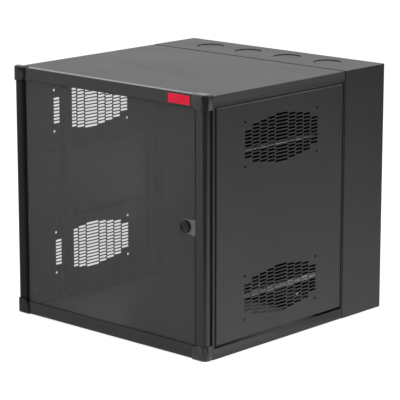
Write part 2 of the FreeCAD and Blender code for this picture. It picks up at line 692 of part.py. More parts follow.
def make_door_rail(label, top):
    """Fold a door rail: a flat face with a return behind the end and a lip at the window."""
    face, rear = "(-door_gap - door_thick + rail_step)", "-door_gap"
    wall = "door_sheet"
    corners = [(rear, 0), (face, 0), (face, "-rail_height"), ("-window_front", "-rail_height"),
               ("-window_front", f"-rail_height + {wall}"), (f"{face} + {wall}", f"-rail_height + {wall}"),
               (f"{face} + {wall}", f"-{wall}"), (rear, f"-{wall}")]
    if not top:
        corners = [(deep, f"-({up})") for deep, up in corners]
    rail = prism(label, "YZ_Plane", corners, "width - 2 * cap_width", middle=True)
    front = -SIZES["door_gap"] - SIZES["door_thick"] + SIZES["rail_step"]
    round_edges(rail, "door_sheet", lambda edge: runs_along(edge, 0)
                and abs(edge.CenterOfMass.y - front) < 0.05)
    level = "height / 2 + door_over - rail_lift" if top else "-height / 2 + rail_lift"
    place(rail, y=FRONT, z=level)
    return rail


def make_cap(label, top, right):
    """Mould a corner cap over the stile's outline; a hinge-side one takes the tab and the pin."""
    cap = new_body(label)
    rear = "(-door_gap + cap_cover)" if right else "-door_gap"
    front = "(-door_gap - door_thick - cap_proud)"
    outline = new_sketch(cap, label + "_outline", "XY_Plane")
    left, side = ("-cap_width", 0) if right else (0, "cap_width")
    draw_polygon(outline, box_corners(left, front, side, rear))
    pad(cap, outline, "cap_height", back=top)
    width, height = SIZES["cap_width"], SIZES["cap_height"]
    face = -SIZES["door_gap"] - SIZES["door_thick"] - SIZES["cap_proud"]
    round_edges(cap, "cap_roll", lambda edge: runs_along(edge, 2)
                and abs(edge.CenterOfMass.x) < 0.1 and edge.CenterOfMass.y < face + 0.1)
    round_edges(cap, "cap_curve", lambda edge: runs_along(edge, 1)
                and abs(edge.CenterOfMass.x) > width - 1 and abs(edge.CenterOfMass.z) > height - 1)
    round_edges(cap, "cap_round", lambda edge: abs(edge.CenterOfMass.z) < 0.01
                and abs(edge.CenterOfMass.x) < width - 1 and edge.BoundBox.YMin < -SIZES["cap_roll"])
    cut_cap_rebate(cap, top, right)
    if not right:
        cut_cap_slit(cap, top)
    place(cap, x="width / 2" if right else "-width / 2", y=FRONT,
          z="height / 2 + door_over" if top else "-height / 2")
    return cap


def cut_cap_rebate(cap, top, right):
    """Cut the rebate behind a cap's inner corner, which the window's corner lies in."""
    rebate = new_sketch(cap, cap.Name + "_rebate", "XZ_Plane", "-1")
    lap = "(stile_width - window_lap - rebate_play)"
    over = "(rail_lift + rail_height - window_lap - rebate_play)"
    left, side = ("-(cap_width + 1)", f"-{lap}") if right else (lap, "cap_width + 1")
    low, high = ("-(cap_height + 1)", f"-{over}") if top else (over, "cap_height + 1")
    draw_polygon(rebate, box_corners(left, low, side, high))
    pocket(cap, rebate, "window_front + 1", back=True)


def cut_cap_slit(cap, top):
    """Cut the slit that the hinge tab swings in and the blind bore that holds the pivot pin."""
    level = "-tab_level" if top else "tab_level"
    slit = new_sketch(cap, cap.Name + "_slit", "XY_Plane", level)
    draw_polygon(slit, box_corners("-1", "-pivot_front - tab_eye - tab_room",
                                   "pivot_in + tab_eye + tab_room", "0"))
    pocket(cap, slit, "tab_sheet + 2 * tab_play", middle=True)
    bore(cap, cap.Name + "_bore", "XY_Plane", "pivot_in", "-pivot_front", "pivot_pin",
         "cap_height - cap_floor", offset="-cap_height" if top else "cap_height", back=top)


def make_window():
    """Cut the door's clear sheet, which lies behind the stiles' and rails' inner edges."""
    across = "(width / 2 - stile_width + window_lap)"
    low = "-height / 2 + rail_lift + rail_height - window_lap"
    high = "height / 2 + door_over - rail_lift - rail_height + window_lap"
    window = prism("door_window", "XZ_Plane", box_corners(f"-{across}", low, across, high),
                   "window_thick", offset="window_front - window_thick")
    bore(window, "window_spindle_hole", "XZ_Plane", "width / 2 - knob_in", "door_over / 2",
         "spindle + running", "4 * window_thick", offset="window_front", middle=True)
    place(window, y=FRONT)
    return window


def make_hinge_tab(label, top):
    """Make the tab on the main body that a door pivot pin turns in: an eye on a neck."""
    tab = new_body(label)
    eye = new_sketch(tab, label + "_eye", "XY_Plane")
    draw_circle(eye, "pivot_in", "-pivot_front", "tab_eye")
    pad(tab, eye, "tab_sheet", middle=True)
    neck = new_sketch(tab, label + "_neck", "XY_Plane")
    draw_polygon(neck, box_corners("pivot_in", "-pivot_front", "pivot_in + tab_eye", 0))
    pad(tab, neck, "tab_sheet", middle=True)
    bore(tab, label + "_bore", "XY_Plane", "pivot_in", "-pivot_front", "pivot_pin + running",
         "3 * tab_sheet", middle=True)
    level = "height / 2 + door_over - tab_level" if top else "-height / 2 + tab_level"
    place(tab, x="-width / 2", y=FRONT, z=level)
    return tab


def make_door_pivot(label, top):
    """Make a pivot pin, pressed into a hinge-side cap across the tab's slit."""
    pivot = new_body(label)
    outline = new_sketch(pivot, label + "_outline", "XY_Plane")
    draw_circle(outline, 0, 0, "pivot_pin")
    pad(pivot, outline, "cap_height - cap_floor", back=not top)
    level = "height / 2 + door_over - cap_height" if top else "-height / 2 + cap_height"
    place(pivot, x="-width / 2 + pivot_in", y=f"{FRONT} - pivot_front", z=level)
    return pivot


KNOB_X = "width / 2 - knob_in"


def make_latch_plate():
    """Cut the latch plate: bevelled round the knob, flared towards the stile."""
    plate = new_body("latch_plate")
    outline = new_sketch(plate, "latch_outline", "XZ_Plane")
    end, bevel = "(knob_in - stile_width - running)", "latch_round * 0.4142"
    draw_polygon(outline, [("-latch_round", f"-{bevel}"), (f"-{bevel}", "-latch_round"), (0, "-latch_round"),
                           (end, "-latch_front / 2"), (end, "latch_front / 2"), (0, "latch_round"),
                           (f"-{bevel}", "latch_round"), ("-latch_round", bevel)])
    pad(plate, outline, "latch_sheet")
    bore(plate, "latch_hole", "XZ_Plane", 0, 0, "spindle + running", "3 * latch_sheet", middle=True)
    place(plate, x=KNOB_X, y=f"{FRONT} - window_front", z="door_over / 2")
    return plate


def make_knob():
    """Turn the door's knob with a soft rim, and the spindle with its square end."""
    knob = new_body("latch_knob")
    back, front = "knob_play", "(knob_play + knob_height)"
    end = "(-latch_sheet - window_front - cam_back)"
    profile = [(0, end), ("spindle", end), ("spindle", back), ("knob_radius", back),
               ("knob_radius", f"{front} - knob_soft"), ("knob_radius - knob_soft", front), (0, front)]
    outline = new_sketch(knob, "knob_outline", "XZ_Plane")
    draw_polygon(outline, profile)
    revolve(knob, outline)
    square = new_sketch(knob, "knob_square", "XY_Plane", end)
    edge = "cam_square / 2"
    draw_polygon(square, box_corners(f"-{edge}", f"-{edge}", edge, edge))
    pad(knob, square, "cam_sheet", back=True)
    place(knob, x=KNOB_X, y=f"{FRONT} - window_front - latch_sheet", z="door_over / 2",
          turn=(Vector(1, 0, 0), 90))
    return knob


def make_door_cam():
    """Make the cam on the knob's spindle, which turns behind the right front post."""
    cam = make_cam("latch_cam", "cam_reach", "cam_width", "cam_square", "cam_sheet")
    place(cam, x=KNOB_X, y=f"{FRONT} + cam_back", z="door_over / 2")
    return cam


def make_cam_screw():
    """Make the hexagon screw head that holds the door cam on its spindle."""
    head = doc.addObject("Part::Prism", "cam_screw")
    head.Label = "cam_screw"
    head.Polygon = 6
    bind(head, Circumradius="cam_square * 0.85", Height="bolt_thick")
    place(head, x=KNOB_X, y=f"{FRONT} + cam_back + cam_sheet + bolt_thick", z="door_over / 2",
          turn=(Vector(1, 0, 0), 90))
    return head


def make_window_clips():
    """Put the clips that press the window against the rails' lips, all in one group."""
    front = -SIZES["wall_depth"] - SIZES["seam"] - SIZES["body_depth"]
    back = front - SIZES["window_front"] + SIZES["window_thick"]
    span = SIZES["width"] - 2 * SIZES["cap_width"]
    tall = SIZES["rail_height"] - 2 * SIZES["door_sheet"]
    low = -SIZES["height"] / 2 + SIZES["rail_lift"] + SIZES["door_sheet"]
    high = SIZES["height"] / 2 + SIZES["door_over"] - SIZES["rail_lift"] - SIZES["door_sheet"] - tall
    count = SIZES["clips"]
    clips = []
    for number in range(count):
        middle = span * ((number + 0.5) / count - 0.5)
        for foot in (low, high):
            corner = Vector(middle - SIZES["clip_width"] / 2, back, foot)
            clips.append(Part.makeBox(SIZES["clip_width"], SIZES["door_sheet"], tall, corner))
    group = doc.addObject("Part::Feature", "window_clips")
    group.Label = "window_clips"
    group.Shape = Part.makeCompound(clips)
    group.Placement = Placement(Vector(0, 0, 0), Rotation())
    return group


# ---------------------------------------------------------------- the whole cabinet


def make_mirrored_pairs():
    """Make the right side's pieces, and the left side's as mirror images of their like."""
    right = [make_face_strip("face_strip_right"), make_front_post("front_post_right"),
             make_side_panel("side_panel_right"),
             make_rack_rail("rack_rail_right")]
    across = Vector(1, 0, 0)
    left = [mirrored(piece.Label.replace("right", "left"), piece, across) for piece in right]
    for kind, make in (("depth_brace", make_depth_brace), ("rail_bracket", make_rail_bracket)):
        for name in ("high", "low"):
            right.append(make(f"{kind}_{name}_right", f"brace_{name}"))
            source = make(f"{kind}_{name}_source", f"left_brace_{name}")
            left.append(mirrored(f"{kind}_{name}_left", source, across))
    plain_post = make_rear_post("rear_post_blank")
    left.append(mirrored("rear_post_left", plain_post, across))
    latch_post = make_rear_post("rear_post_right")
    for name, level in (("high", "swing_latch_rise"), ("low", "-swing_latch_rise")):
        bore(latch_post, f"latch_hole_{name}", "XZ_Plane", "-swing_latch_in", level,
             "swing_spindle + running", "4 * steel", middle=True)
    return right + [latch_post] + left


def make_cabinet():
    """Make every piece of the cabinet and list them."""
    pieces = [make_wall_shell(), make_end_plate("wall_top_plate"), make_pan("body_top_pan")]
    upright = Vector(0, 0, 1)
    pieces.append(mirrored("wall_bottom_plate", pieces[1], upright))
    pieces.append(mirrored("body_bottom_pan", pieces[2], upright))
    pieces += make_mirrored_pairs()
    pieces.append(make_rail_bolts())
    pieces += make_swing_hinges() + make_swing_latches() + make_door()
    return pieces


def make_swing_hinges():
    """Make the two lift-off hinges: each kind of piece is joined with its twin."""
    levels = (("upper", "hinge_rise"), ("lower", "-hinge_rise"))
    wall = [make_swing_leaf(f"wall_leaf_{name}", level, on_wall=True) for name, level in levels]
    body = [make_swing_leaf(f"body_leaf_{name}", level, on_wall=False) for name, level in levels]
    pins = [make_swing_pin(f"pin_{name}", level) for name, level in levels]
    return [joined("hinge_leaves_wall", wall), joined("hinge_leaves_body", body),
            joined("hinge_pins", pins)]


def make_swing_latches():
    """Make the two quarter-turn latches that hold the main body to the wall section."""
    pieces = []
    for name, level in (("upper", "swing_latch_rise"), ("lower", "-swing_latch_rise")):
        pieces.append(make_swing_latch_wing(f"swing_latch_wing_{name}", level))
        pieces.append(make_swing_latch_cam(f"swing_latch_cam_{name}", level))
    return pieces


def make_door():
    """Make the door: frame, caps, window, latch and the pins and tabs that it turns on."""
    stile = make_stile("door_stile_right")
    ends = (("top", True), ("bottom", False))
    rails = [make_door_rail(f"door_rail_{name}", top) for name, top in ends]
    right = [make_cap(f"right_cap_{name}", top, right=True) for name, top in ends]
    left = [make_cap(f"left_cap_{name}", top, right=False) for name, top in ends]
    tabs = [make_hinge_tab(f"tab_{name}", top) for name, top in ends]
    pins = [make_door_pivot(f"pivot_{name}", top) for name, top in ends]
    return [stile, mirrored("door_stile_left", stile, Vector(1, 0, 0)), *rails,
            joined("door_caps_right", right), joined("door_caps_left", left),
            joined("hinge_tabs", tabs), joined("door_pivots", pins), make_window(),
            make_window_clips(), make_latch_plate(), make_knob(), make_door_cam(), make_cam_screw()]


def check_and_write(pieces):
    """Stop on any failed object or shape, then write one file for each piece."""
    doc.recompute()
    failed = [item.Name for item in doc.Objects if {"Invalid", "Error"} & set(item.State)]
    if failed:
        raise RuntimeError(f"failed objects: {failed}")
    os.makedirs("parts", exist_ok=True)
    for piece in pieces:
        shape = piece.Shape
        if shape.isNull() or not shape.isValid() or not shape.Solids:
            raise RuntimeError(f"{piece.Label}: no valid solid")
        shape.exportStep(f"parts/{piece.Label}.step")


PIECES = make_cabinet()
check_and_write(PIECES)
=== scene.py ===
"""Looks of a 12-unit swing-out wall cabinet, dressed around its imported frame, in metres.

The wall section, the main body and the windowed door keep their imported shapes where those
are right. The vent panels, the end plates with knock-outs, the knob and the latch plate are
made again here in finer detail, and every surface gets a finish of its own.
"""

import json
import logging
import math
from dataclasses import dataclass, field, replace
from enum import Enum
from typing import Any, Optional, Sequence

import bmesh
import bpy
from mathutils import Matrix, Vector


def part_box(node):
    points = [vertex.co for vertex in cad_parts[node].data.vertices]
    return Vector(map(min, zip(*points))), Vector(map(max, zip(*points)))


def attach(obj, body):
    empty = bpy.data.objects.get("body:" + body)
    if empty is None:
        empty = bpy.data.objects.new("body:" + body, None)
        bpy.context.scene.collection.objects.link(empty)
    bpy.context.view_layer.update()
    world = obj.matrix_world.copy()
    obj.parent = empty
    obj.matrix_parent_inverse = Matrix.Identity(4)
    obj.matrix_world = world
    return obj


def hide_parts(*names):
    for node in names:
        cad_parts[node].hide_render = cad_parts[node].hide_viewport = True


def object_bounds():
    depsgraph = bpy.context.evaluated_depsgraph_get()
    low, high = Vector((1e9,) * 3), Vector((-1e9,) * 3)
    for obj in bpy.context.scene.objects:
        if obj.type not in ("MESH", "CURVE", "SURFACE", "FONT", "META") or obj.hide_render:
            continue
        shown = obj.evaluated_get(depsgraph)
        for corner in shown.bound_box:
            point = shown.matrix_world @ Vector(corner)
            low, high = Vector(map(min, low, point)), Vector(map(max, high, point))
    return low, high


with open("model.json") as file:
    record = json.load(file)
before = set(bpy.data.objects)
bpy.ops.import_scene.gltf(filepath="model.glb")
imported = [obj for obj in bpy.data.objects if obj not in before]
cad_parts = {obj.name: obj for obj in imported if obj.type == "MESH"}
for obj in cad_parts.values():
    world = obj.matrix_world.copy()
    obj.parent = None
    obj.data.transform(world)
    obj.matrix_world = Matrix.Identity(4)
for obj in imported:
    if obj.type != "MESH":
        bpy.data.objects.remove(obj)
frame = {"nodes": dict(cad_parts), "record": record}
PACKED_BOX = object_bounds()

log = logging.getLogger("cabinet")

MM = 0.001
MERGE = 0.001 * MM  # corners nearer than this are one
SIDE_SEAM = 1.4 * MM  # how far the wall section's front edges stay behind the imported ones
PLATE_SEAM = 2.4 * MM  # the same at its top and bottom plates, where no latch reaches
GRAZE = 0.01 * MM  # how near two places may be and still count as one
Colour = tuple[float, float, float]
Point = tuple[float, float]
Fade = tuple[float, float, float, float]  # two places, and the level at each


class Slot(Enum):
    """The record's material slots."""

    POWDER = "black_powder"
    RAIL = "rail_black"
    ZINC = "zinc"
    PLASTIC = "black_plastic"
    KNOB = "knob_plastic"
    LATCH = "latch_grey"
    WINDOW = "smoked_window"


class Part(Enum):
    """The bodies that pieces ride on."""

    WALL = "wall_section"
    MAIN = "main_body"
    DOOR = "door"
    LATCH = "door_latch"


class Side(Enum):
    """The right or the left of the cabinet, as the sign of X."""

    RIGHT = 1
    LEFT = -1


# ---------------------------------------------------------------- node trees


class Graph:
    """A node tree under construction, with short calls that add and join nodes."""

    def __init__(self, tree: bpy.types.NodeTree) -> None:
        """Take over a tree.

        Args:
            tree: the tree that the calls write into.
        """
        self.tree = tree

    def add(self, kind: str, inputs: Optional[dict] = None, **settings: Any) -> bpy.types.Node:
        """Add one node.

        Args:
            kind: the node's type name.
            inputs: what goes into its sockets, by name or place: a value or another socket.
            **settings: properties of the node.

        Returns:
            The new node.
        """
        node = self.tree.nodes.new(kind)
        for name, value in settings.items():
            setattr(node, name, value)
        for name, value in (inputs or {}).items():
            self.feed(node.inputs[name], value)
        return node

    def feed(self, socket: bpy.types.NodeSocket, value: Any) -> None:
        """Join a socket to another one, or set its value.

        Args:
            socket: the socket that is fed.
            value: another socket, or a plain value.
        """
        if isinstance(value, bpy.types.NodeSocket):
            self.tree.links.new(value, socket)
        else:
            socket.default_value = value

    def sum(self, operation: str, first: Any, second: Any = 0.0, clamp: bool = False) -> Any:
        """Add a Math node.

        Args:
            operation: what it works out.
            first: the first value or socket.
            second: the second value or socket.
            clamp: whether the result is kept between 0 and 1.

        Returns:
            The socket with the result.
        """
        inputs = {0: first, 1: second}
        return self.add("ShaderNodeMath", inputs, operation=operation, use_clamp=clamp).outputs[0]

    def blend(self, share: Any, first: Any, second: Any) -> bpy.types.NodeSocket:
        """Mix two colours and give the result's socket."""
        inputs = {0: share, 6: first, 7: second}
        return self.add("ShaderNodeMix", inputs, data_type="RGBA").outputs[2]

    def ramp(self, value: Any, low: float, high: float, start: float, end: float) -> Any:
        """Map a value from one range to another, kept within it.

        Args:
            value: the socket to map.
            low: the value that gives start.
            high: the value that gives end.
            start: the result at low.
            end: the result at high.

        Returns:
            The socket with the result.
        """
        inputs = {"Value": value, "From Min": low, "From Max": high, "To Min": start, "To Max": end}
        return self.add("ShaderNodeMapRange", inputs).outputs[0]


class MaskGroup(Graph):
    """A shader node group that turns a place on the surface into masks, values or normals."""

    made: dict[str, bpy.types.NodeTree] = {}

    def __init__(self, name: str, inputs: dict[str, float], outputs: dict[str, str]) -> None:
        """Start a group.

        Args:
            name: the group's name.
            inputs: its number inputs with their defaults.
            outputs: its outputs with their kinds, Float, Vector or Color.
        """
        super().__init__(bpy.data.node_groups.new(name, "ShaderNodeTree"))
        sockets = self.tree.interface
        for label, value in inputs.items():
            item = sockets.new_socket(label, in_out="INPUT", socket_type="NodeSocketFloat")
            item.default_value = value
        for label, kind in outputs.items():
            sockets.new_socket(label, in_out="OUTPUT", socket_type=f"NodeSocket{kind}")
        self.entry = self.add("NodeGroupInput").outputs
        self.exit = self.add("NodeGroupOutput").inputs
        self.place = self.add("ShaderNodeTexCoord").outputs["Object"]
        MaskGroup.made[name] = self.tree

    def noise(self, scale: Any, detail: float, roughness: float) -> bpy.types.NodeSocket:
        """Add noise on object coordinates, scale in waves per metre, and give its socket."""
        inputs = {"Vector": self.place, "Scale": scale, "Detail": detail, "Roughness": roughness}
        return self.add("ShaderNodeTexNoise", inputs).outputs[0]


def make_soft_edge_group() -> None:
    """Make the group that rounds sharp edges in the shading and finds where they are."""
    group = MaskGroup("soft edge", {"Radius": 0.001, "Wear": 0.5},
                      {"Normal": "Vector", "Edge": "Float"})
    rounded = group.add("ShaderNodeBevel", {"Radius": group.entry["Radius"]}, samples=6).outputs[0]
    flat = group.add("ShaderNodeNewGeometry").outputs["Normal"]
    facing = group.add("ShaderNodeVectorMath", {0: rounded, 1: flat}, operation="DOT_PRODUCT")
    turned = group.ramp(group.sum("SUBTRACT", 1.0, facing.outputs["Value"]), 0.01, 0.22, 0.0, 1.0)
    broken = group.ramp(group.noise(140.0, 3.0, 0.6), 0.38, 0.66, 0.25, 1.0)
    group.feed(group.exit["Normal"], rounded)
    worn = group.sum("MULTIPLY", turned, broken)
    group.feed(group.exit["Edge"], group.sum("MULTIPLY", worn, group.entry["Wear"], clamp=True))


def make_orange_peel_group() -> None:
    """Make the group for the skin of a powder coat: soft pebbles with a finer grain on them."""
    group = MaskGroup("orange peel", {"Scale": 900.0, "Grain": 0.35},
                      {"Height": "Float", "Speck": "Float"})
    pebbles = group.noise(group.entry["Scale"], 2.0, 0.45)
    grain = group.noise(group.sum("MULTIPLY", group.entry["Scale"], 3.1), 3.0, 0.6)
    fine = group.sum("MULTIPLY", grain, group.entry["Grain"])
    group.feed(group.exit["Height"], group.sum("ADD", pebbles, fine))
    group.feed(group.exit["Speck"], group.ramp(grain, 0.35, 0.65, 0.0, 1.0))


def make_cloud_group() -> None:
    """Make the group for slow changes over a sheet, as from uneven film and wiping."""
    group = MaskGroup("cloud", {"Scale": 5.0, "Streak": 0.4}, {"Tone": "Float", "Wipe": "Float"})
    broad = group.noise(group.entry["Scale"], 4.0, 0.55)
    group.feed(group.exit["Tone"], group.ramp(broad, 0.3, 0.7, 0.0, 1.0))
    squash = group.add("ShaderNodeMapping", {"Vector": group.place, "Scale": (1.0, 2.2, 7.0)})
    inputs = {"Vector": squash.outputs[0], "Scale": group.entry["Scale"], "Detail": 3.0}
    streak = group.add("ShaderNodeTexNoise", inputs).outputs[0]
    wiped = group.sum("MULTIPLY", group.ramp(streak, 0.35, 0.7, 0.0, 1.0), group.entry["Streak"])
    group.feed(group.exit["Wipe"], wiped)


def make_dust_group() -> None:
    """Make the group for the thin dust that lies on faces that look up; given a large amount, it
    also paints a highlight.
    """
    group = MaskGroup("dust", {"Amount": 0.3}, {"Dust": "Float"})
    normal = group.add("ShaderNodeNewGeometry").outputs["Normal"]
    upward = group.add("ShaderNodeSeparateXYZ", {0: normal}).outputs["Z"]
    lying = group.ramp(upward, 0.55, 0.98, 0.0, 1.0)
    patchy = group.ramp(group.noise(9.0, 6.0, 0.62), 0.32, 0.72, 0.35, 1.0)
    motes = group.ramp(group.noise(520.0, 2.0, 0.5), 0.42, 0.7, 0.6, 1.0)
    whole = group.sum("MULTIPLY", group.sum("MULTIPLY", lying, patchy), motes)
    group.feed(group.exit["Dust"], group.sum("MULTIPLY", whole, group.entry["Amount"], clamp=True))


def make_grain_group() -> None:
    """Make the group for the fine spark-eroded grain of moulded plastic."""
    group = MaskGroup("mould grain", {"Scale": 1400.0}, {"Height": "Float", "Tone": "Float"})
    inputs = {"Vector": group.place, "Scale": group.entry["Scale"]}
    cells = group.add("ShaderNodeTexVoronoi", inputs, feature="SMOOTH_F1").outputs["Distance"]
    soft = group.noise(group.sum("MULTIPLY", group.entry["Scale"], 0.4), 2.0, 0.5)
    group.feed(group.exit["Height"], group.sum("ADD", cells, group.sum("MULTIPLY", soft, 0.6)))
    group.feed(group.exit["Tone"], group.ramp(group.noise(60.0, 4.0, 0.6), 0.35, 0.65, 0.0, 1.0))


def make_spangle_group() -> None:
    """Make the group for plated steel: small facets of tone and faint drawn lines."""
    group = MaskGroup("spangle", {"Scale": 260.0}, {"Tone": "Float", "Height": "Float"})
    inputs = {"Vector": group.place, "Scale": group.entry["Scale"]}
    cells = group.add("ShaderNodeTexVoronoi", inputs).outputs["Color"]
    tone = group.add("ShaderNodeSeparateColor", {0: cells}).outputs[0]
    squash = group.add("ShaderNodeMapping", {"Vector": group.place, "Scale": (1.0, 0.08, 1.0)})
    inputs = {"Vector": squash.outputs[0], "Scale": 1500.0}
    drawn = group.add("ShaderNodeTexNoise", inputs).outputs[0]
    group.feed(group.exit["Tone"], tone)
    group.feed(group.exit["Height"], drawn)


# ---------------------------------------------------------------- finishes


class Paint(Graph):
    """A material under construction: its Principled shader and the calls that dress it."""

    def __init__(self, name: str) -> None:
        """Start a material with one Principled shader.

        Args:
            name: the material's name.
        """
        self.material = bpy.data.materials.new(name)
        self.material.use_nodes = True
        super().__init__(self.material.node_tree)
        self.tree.nodes.clear()
        self.shader = self.add("ShaderNodeBsdfPrincipled")
        self.output = self.add("ShaderNodeOutputMaterial", {"Surface": self.shader.outputs[0]})

    def group(self, name: str, **inputs: float) -> bpy.types.NodeOutputs:
        """Place one of the shared groups with its own values.

        Args:
            name: the group's name.
            **inputs: its values, with underscores for spaces.

        Returns:
            Its output sockets.
        """
        node = self.add("ShaderNodeGroup")
        node.node_tree = MaskGroup.made[name]
        for label, value in inputs.items():
            node.inputs[label.replace("_", " ").capitalize()].default_value = value
        return node.outputs

    def set(self, **values: Any) -> None:
        """Set or join sockets of the Principled shader.

        Args:
            **values: values or sockets by the shader's own names, with underscores for spaces.
        """
        labels = {name.replace("_", " ").lower(): value for name, value in values.items()}
        for socket in self.shader.inputs:
            if socket.name.lower() in labels:
                self.feed(socket, labels[socket.name.lower()])

    def bump(self, height: Any, depth: float, normal: Any) -> bpy.types.NodeSocket:
        """Add a Bump node over a rounded normal and give the socket of its normal."""
        inputs = {"Height": height, "Distance": depth, "Strength": 1.0, "Normal": normal}
        return self.add("ShaderNodeBump", inputs).outputs[0]


def shade(colour: Colour, factor: float = 1.0) -> tuple[float, float, float, float]:
    """Give a colour, lighter or darker by a factor, with its alpha."""
    return (colour[0] * factor, colour[1] * factor, colour[2] * factor, 1.0)


@dataclass(frozen=True)
class PowderCoat:
    """Textured powder coat on sheet steel with thin dust; above its ledge, thick dust colour paints
    a highlight.

    The ledge is a height. Its default is far above the cabinet, so it is never reached.
    """

    name: str
    colour: Colour
    roughness: float = 0.42
    peel: float = 900.0
    depth: float = 0.04 * MM
    dust: float = 0.16
    wear: float = 0.35
    rounding: float = 0.9 * MM
    gloss: float = 0.5
    coat: float = 0.0
    coat_roughness: float = 0.12
    ledge: float = 9.0
    ledge_highlight: float = 3.5
    dust_and_highlight_colour: Colour = (0.30, 0.29, 0.27)

    def material(self) -> bpy.types.Material:
        """Build the material.

        Returns:
            The material.
        """
        paint = Paint(self.name)
        edge = paint.group("soft edge", radius=self.rounding, wear=self.wear)
        peel = paint.group("orange peel", scale=self.peel, grain=0.35)
        cloud = paint.group("cloud", scale=4.0, streak=0.5)
        dust = paint.group("dust", amount=self.dust)
        place = paint.add("ShaderNodeTexCoord").outputs["Object"]
        height = paint.add("ShaderNodeSeparateXYZ", {0: place}).outputs["Z"]
        # Above the ledge the amount jumps to ledge_highlight: there the dust colour is a painted
        # highlight on the side panels' top bends.
        amount = paint.ramp(height, self.ledge, self.ledge + MM, self.dust, self.ledge_highlight)
        paint.feed(dust["Dust"].node.inputs["Amount"], amount)
        tone = paint.blend(cloud["Tone"], shade(self.colour, 0.86), shade(self.colour, 1.12))
        speck = paint.blend(peel["Speck"], tone, shade(self.colour, 1.35))
        mixed = paint.blend(0.25, tone, speck)
        rubbed = paint.blend(edge["Edge"], mixed, shade(self.colour, 2.6))
        # The dust colour is real thin dust, and above the ledge a painted highlight.
        dusty_and_highlit = paint.blend(dust["Dust"], rubbed, shade(self.dust_and_highlight_colour))
        rough = paint.sum("ADD", paint.sum("MULTIPLY", cloud["Wipe"], 0.10), self.roughness)
        rough = paint.sum("SUBTRACT", rough, paint.sum("MULTIPLY", edge["Edge"], 0.12))
        rough = paint.sum("ADD", rough, paint.sum("MULTIPLY", dust["Dust"], 0.35), clamp=True)
        normal = paint.bump(peel["Height"], self.depth, edge["Normal"])
        paint.set(base_color=dusty_and_highlit, roughness=rough, normal=normal,
                  specular_ior_level=self.gloss, coat_weight=self.coat,
                  coat_roughness=self.coat_roughness)
        return paint.material


@dataclass(frozen=True)
class MouldedPlastic:
    """Moulded plastic with a fine grain and slightly shiny edges."""

    name: str
    colour: Colour
    roughness: float = 0.45
    grain: float = 1400.0
    depth: float = 0.03 * MM
    rounding: float = 1.2 * MM
    gloss: float = 0.5

    def material(self) -> bpy.types.Material:
        """Build the material.

        Returns:
            The material.
        """
        paint = Paint(self.name)
        edge = paint.group("soft edge", radius=self.rounding, wear=0.5)
        grain = paint.group("mould grain", scale=self.grain)
        cloud = paint.group("cloud", scale=22.0, streak=0.5)
        tone = paint.blend(grain["Tone"], shade(self.colour, 0.88), shade(self.colour, 1.14))
        rubbed = paint.blend(edge["Edge"], tone, shade(self.colour, 1.9))
        rough = paint.sum("ADD", paint.sum("MULTIPLY", cloud["Wipe"], 0.12), self.roughness)
        rough = paint.sum("SUBTRACT", rough, paint.sum("MULTIPLY", edge["Edge"], 0.15), clamp=True)
        normal = paint.bump(grain["Height"], self.depth, edge["Normal"])
        paint.set(base_color=rubbed, roughness=rough, normal=normal, specular_ior_level=self.gloss)
        return paint.material


@dataclass(frozen=True)
class ZincPlate:
    """Bright zinc on steel: faint facets of tone, drawn lines, duller where it is handled."""

    name: str
    colour: Colour = (0.66, 0.67, 0.68)
    roughness: float = 0.40
    metallic: float = 0.7

    def material(self) -> bpy.types.Material:
        """Build the material.

        Returns:
            The material.
        """
        paint = Paint(self.name)
        edge = paint.group("soft edge", radius=0.4 * MM, wear=0.6)
        spangle = paint.group("spangle", scale=260.0)
        cloud = paint.group("cloud", scale=30.0, streak=0.6)
        warm = (self.colour[0] * 0.92, self.colour[1] * 0.88, self.colour[2] * 0.78, 1.0)
        tone = paint.blend(spangle["Tone"], shade(self.colour, 0.84), shade(self.colour, 1.1))
        passivated = paint.blend(cloud["Wipe"], tone, warm)
        bright = paint.blend(edge["Edge"], passivated, shade(self.colour, 1.3))
        rough = paint.sum("ADD", paint.sum("MULTIPLY", spangle["Tone"], 0.12), self.roughness)
        normal = paint.bump(spangle["Height"], 0.006 * MM, edge["Normal"])
        paint.set(base_color=bright, roughness=rough, normal=normal, metallic=self.metallic)
        return paint.material


@dataclass(frozen=True)
class SmokedSheet:
    """Smoked clear acrylic: faintly wavy and wiped."""

    name: str
    colour: Colour = (0.85, 0.85, 0.86)
    roughness: float = 0.01
    bend_of_light: float = 1.2
    clearness: float = 0.938
    let_in: float = 0.22

    def material(self) -> bpy.types.Material:
        """Build the material.

        Returns:
            The material.
        """
        paint = Paint(self.name)
        cloud = paint.group("cloud", scale=6.0, streak=1.0)
        tone = paint.blend(cloud["Tone"], shade(self.colour, 0.97), shade(self.colour, 1.02))
        rough = paint.sum("ADD", paint.sum("MULTIPLY", cloud["Wipe"], 0.02), self.roughness)
        paint.set(base_color=tone, roughness=rough, ior=self.bend_of_light,
                  transmission_weight=self.clearness)
        rays = paint.add("ShaderNodeLightPath").outputs
        indirect = paint.sum("MAXIMUM", rays["Is Shadow Ray"], rays["Is Diffuse Ray"])
        bounced = paint.sum("GREATER_THAN", rays["Glossy Depth"], 0.5)
        indirect = paint.sum("MAXIMUM", indirect, bounced)
        clear = paint.add("ShaderNodeBsdfTransparent", {"Color": shade(self.colour, self.let_in)})
        inputs = {0: indirect, 1: paint.shader.outputs[0], 2: clear.outputs[0]}
        mixed = paint.add("ShaderNodeMixShader", inputs).outputs[0]
        paint.feed(paint.output.inputs["Surface"], mixed)
        return paint.material


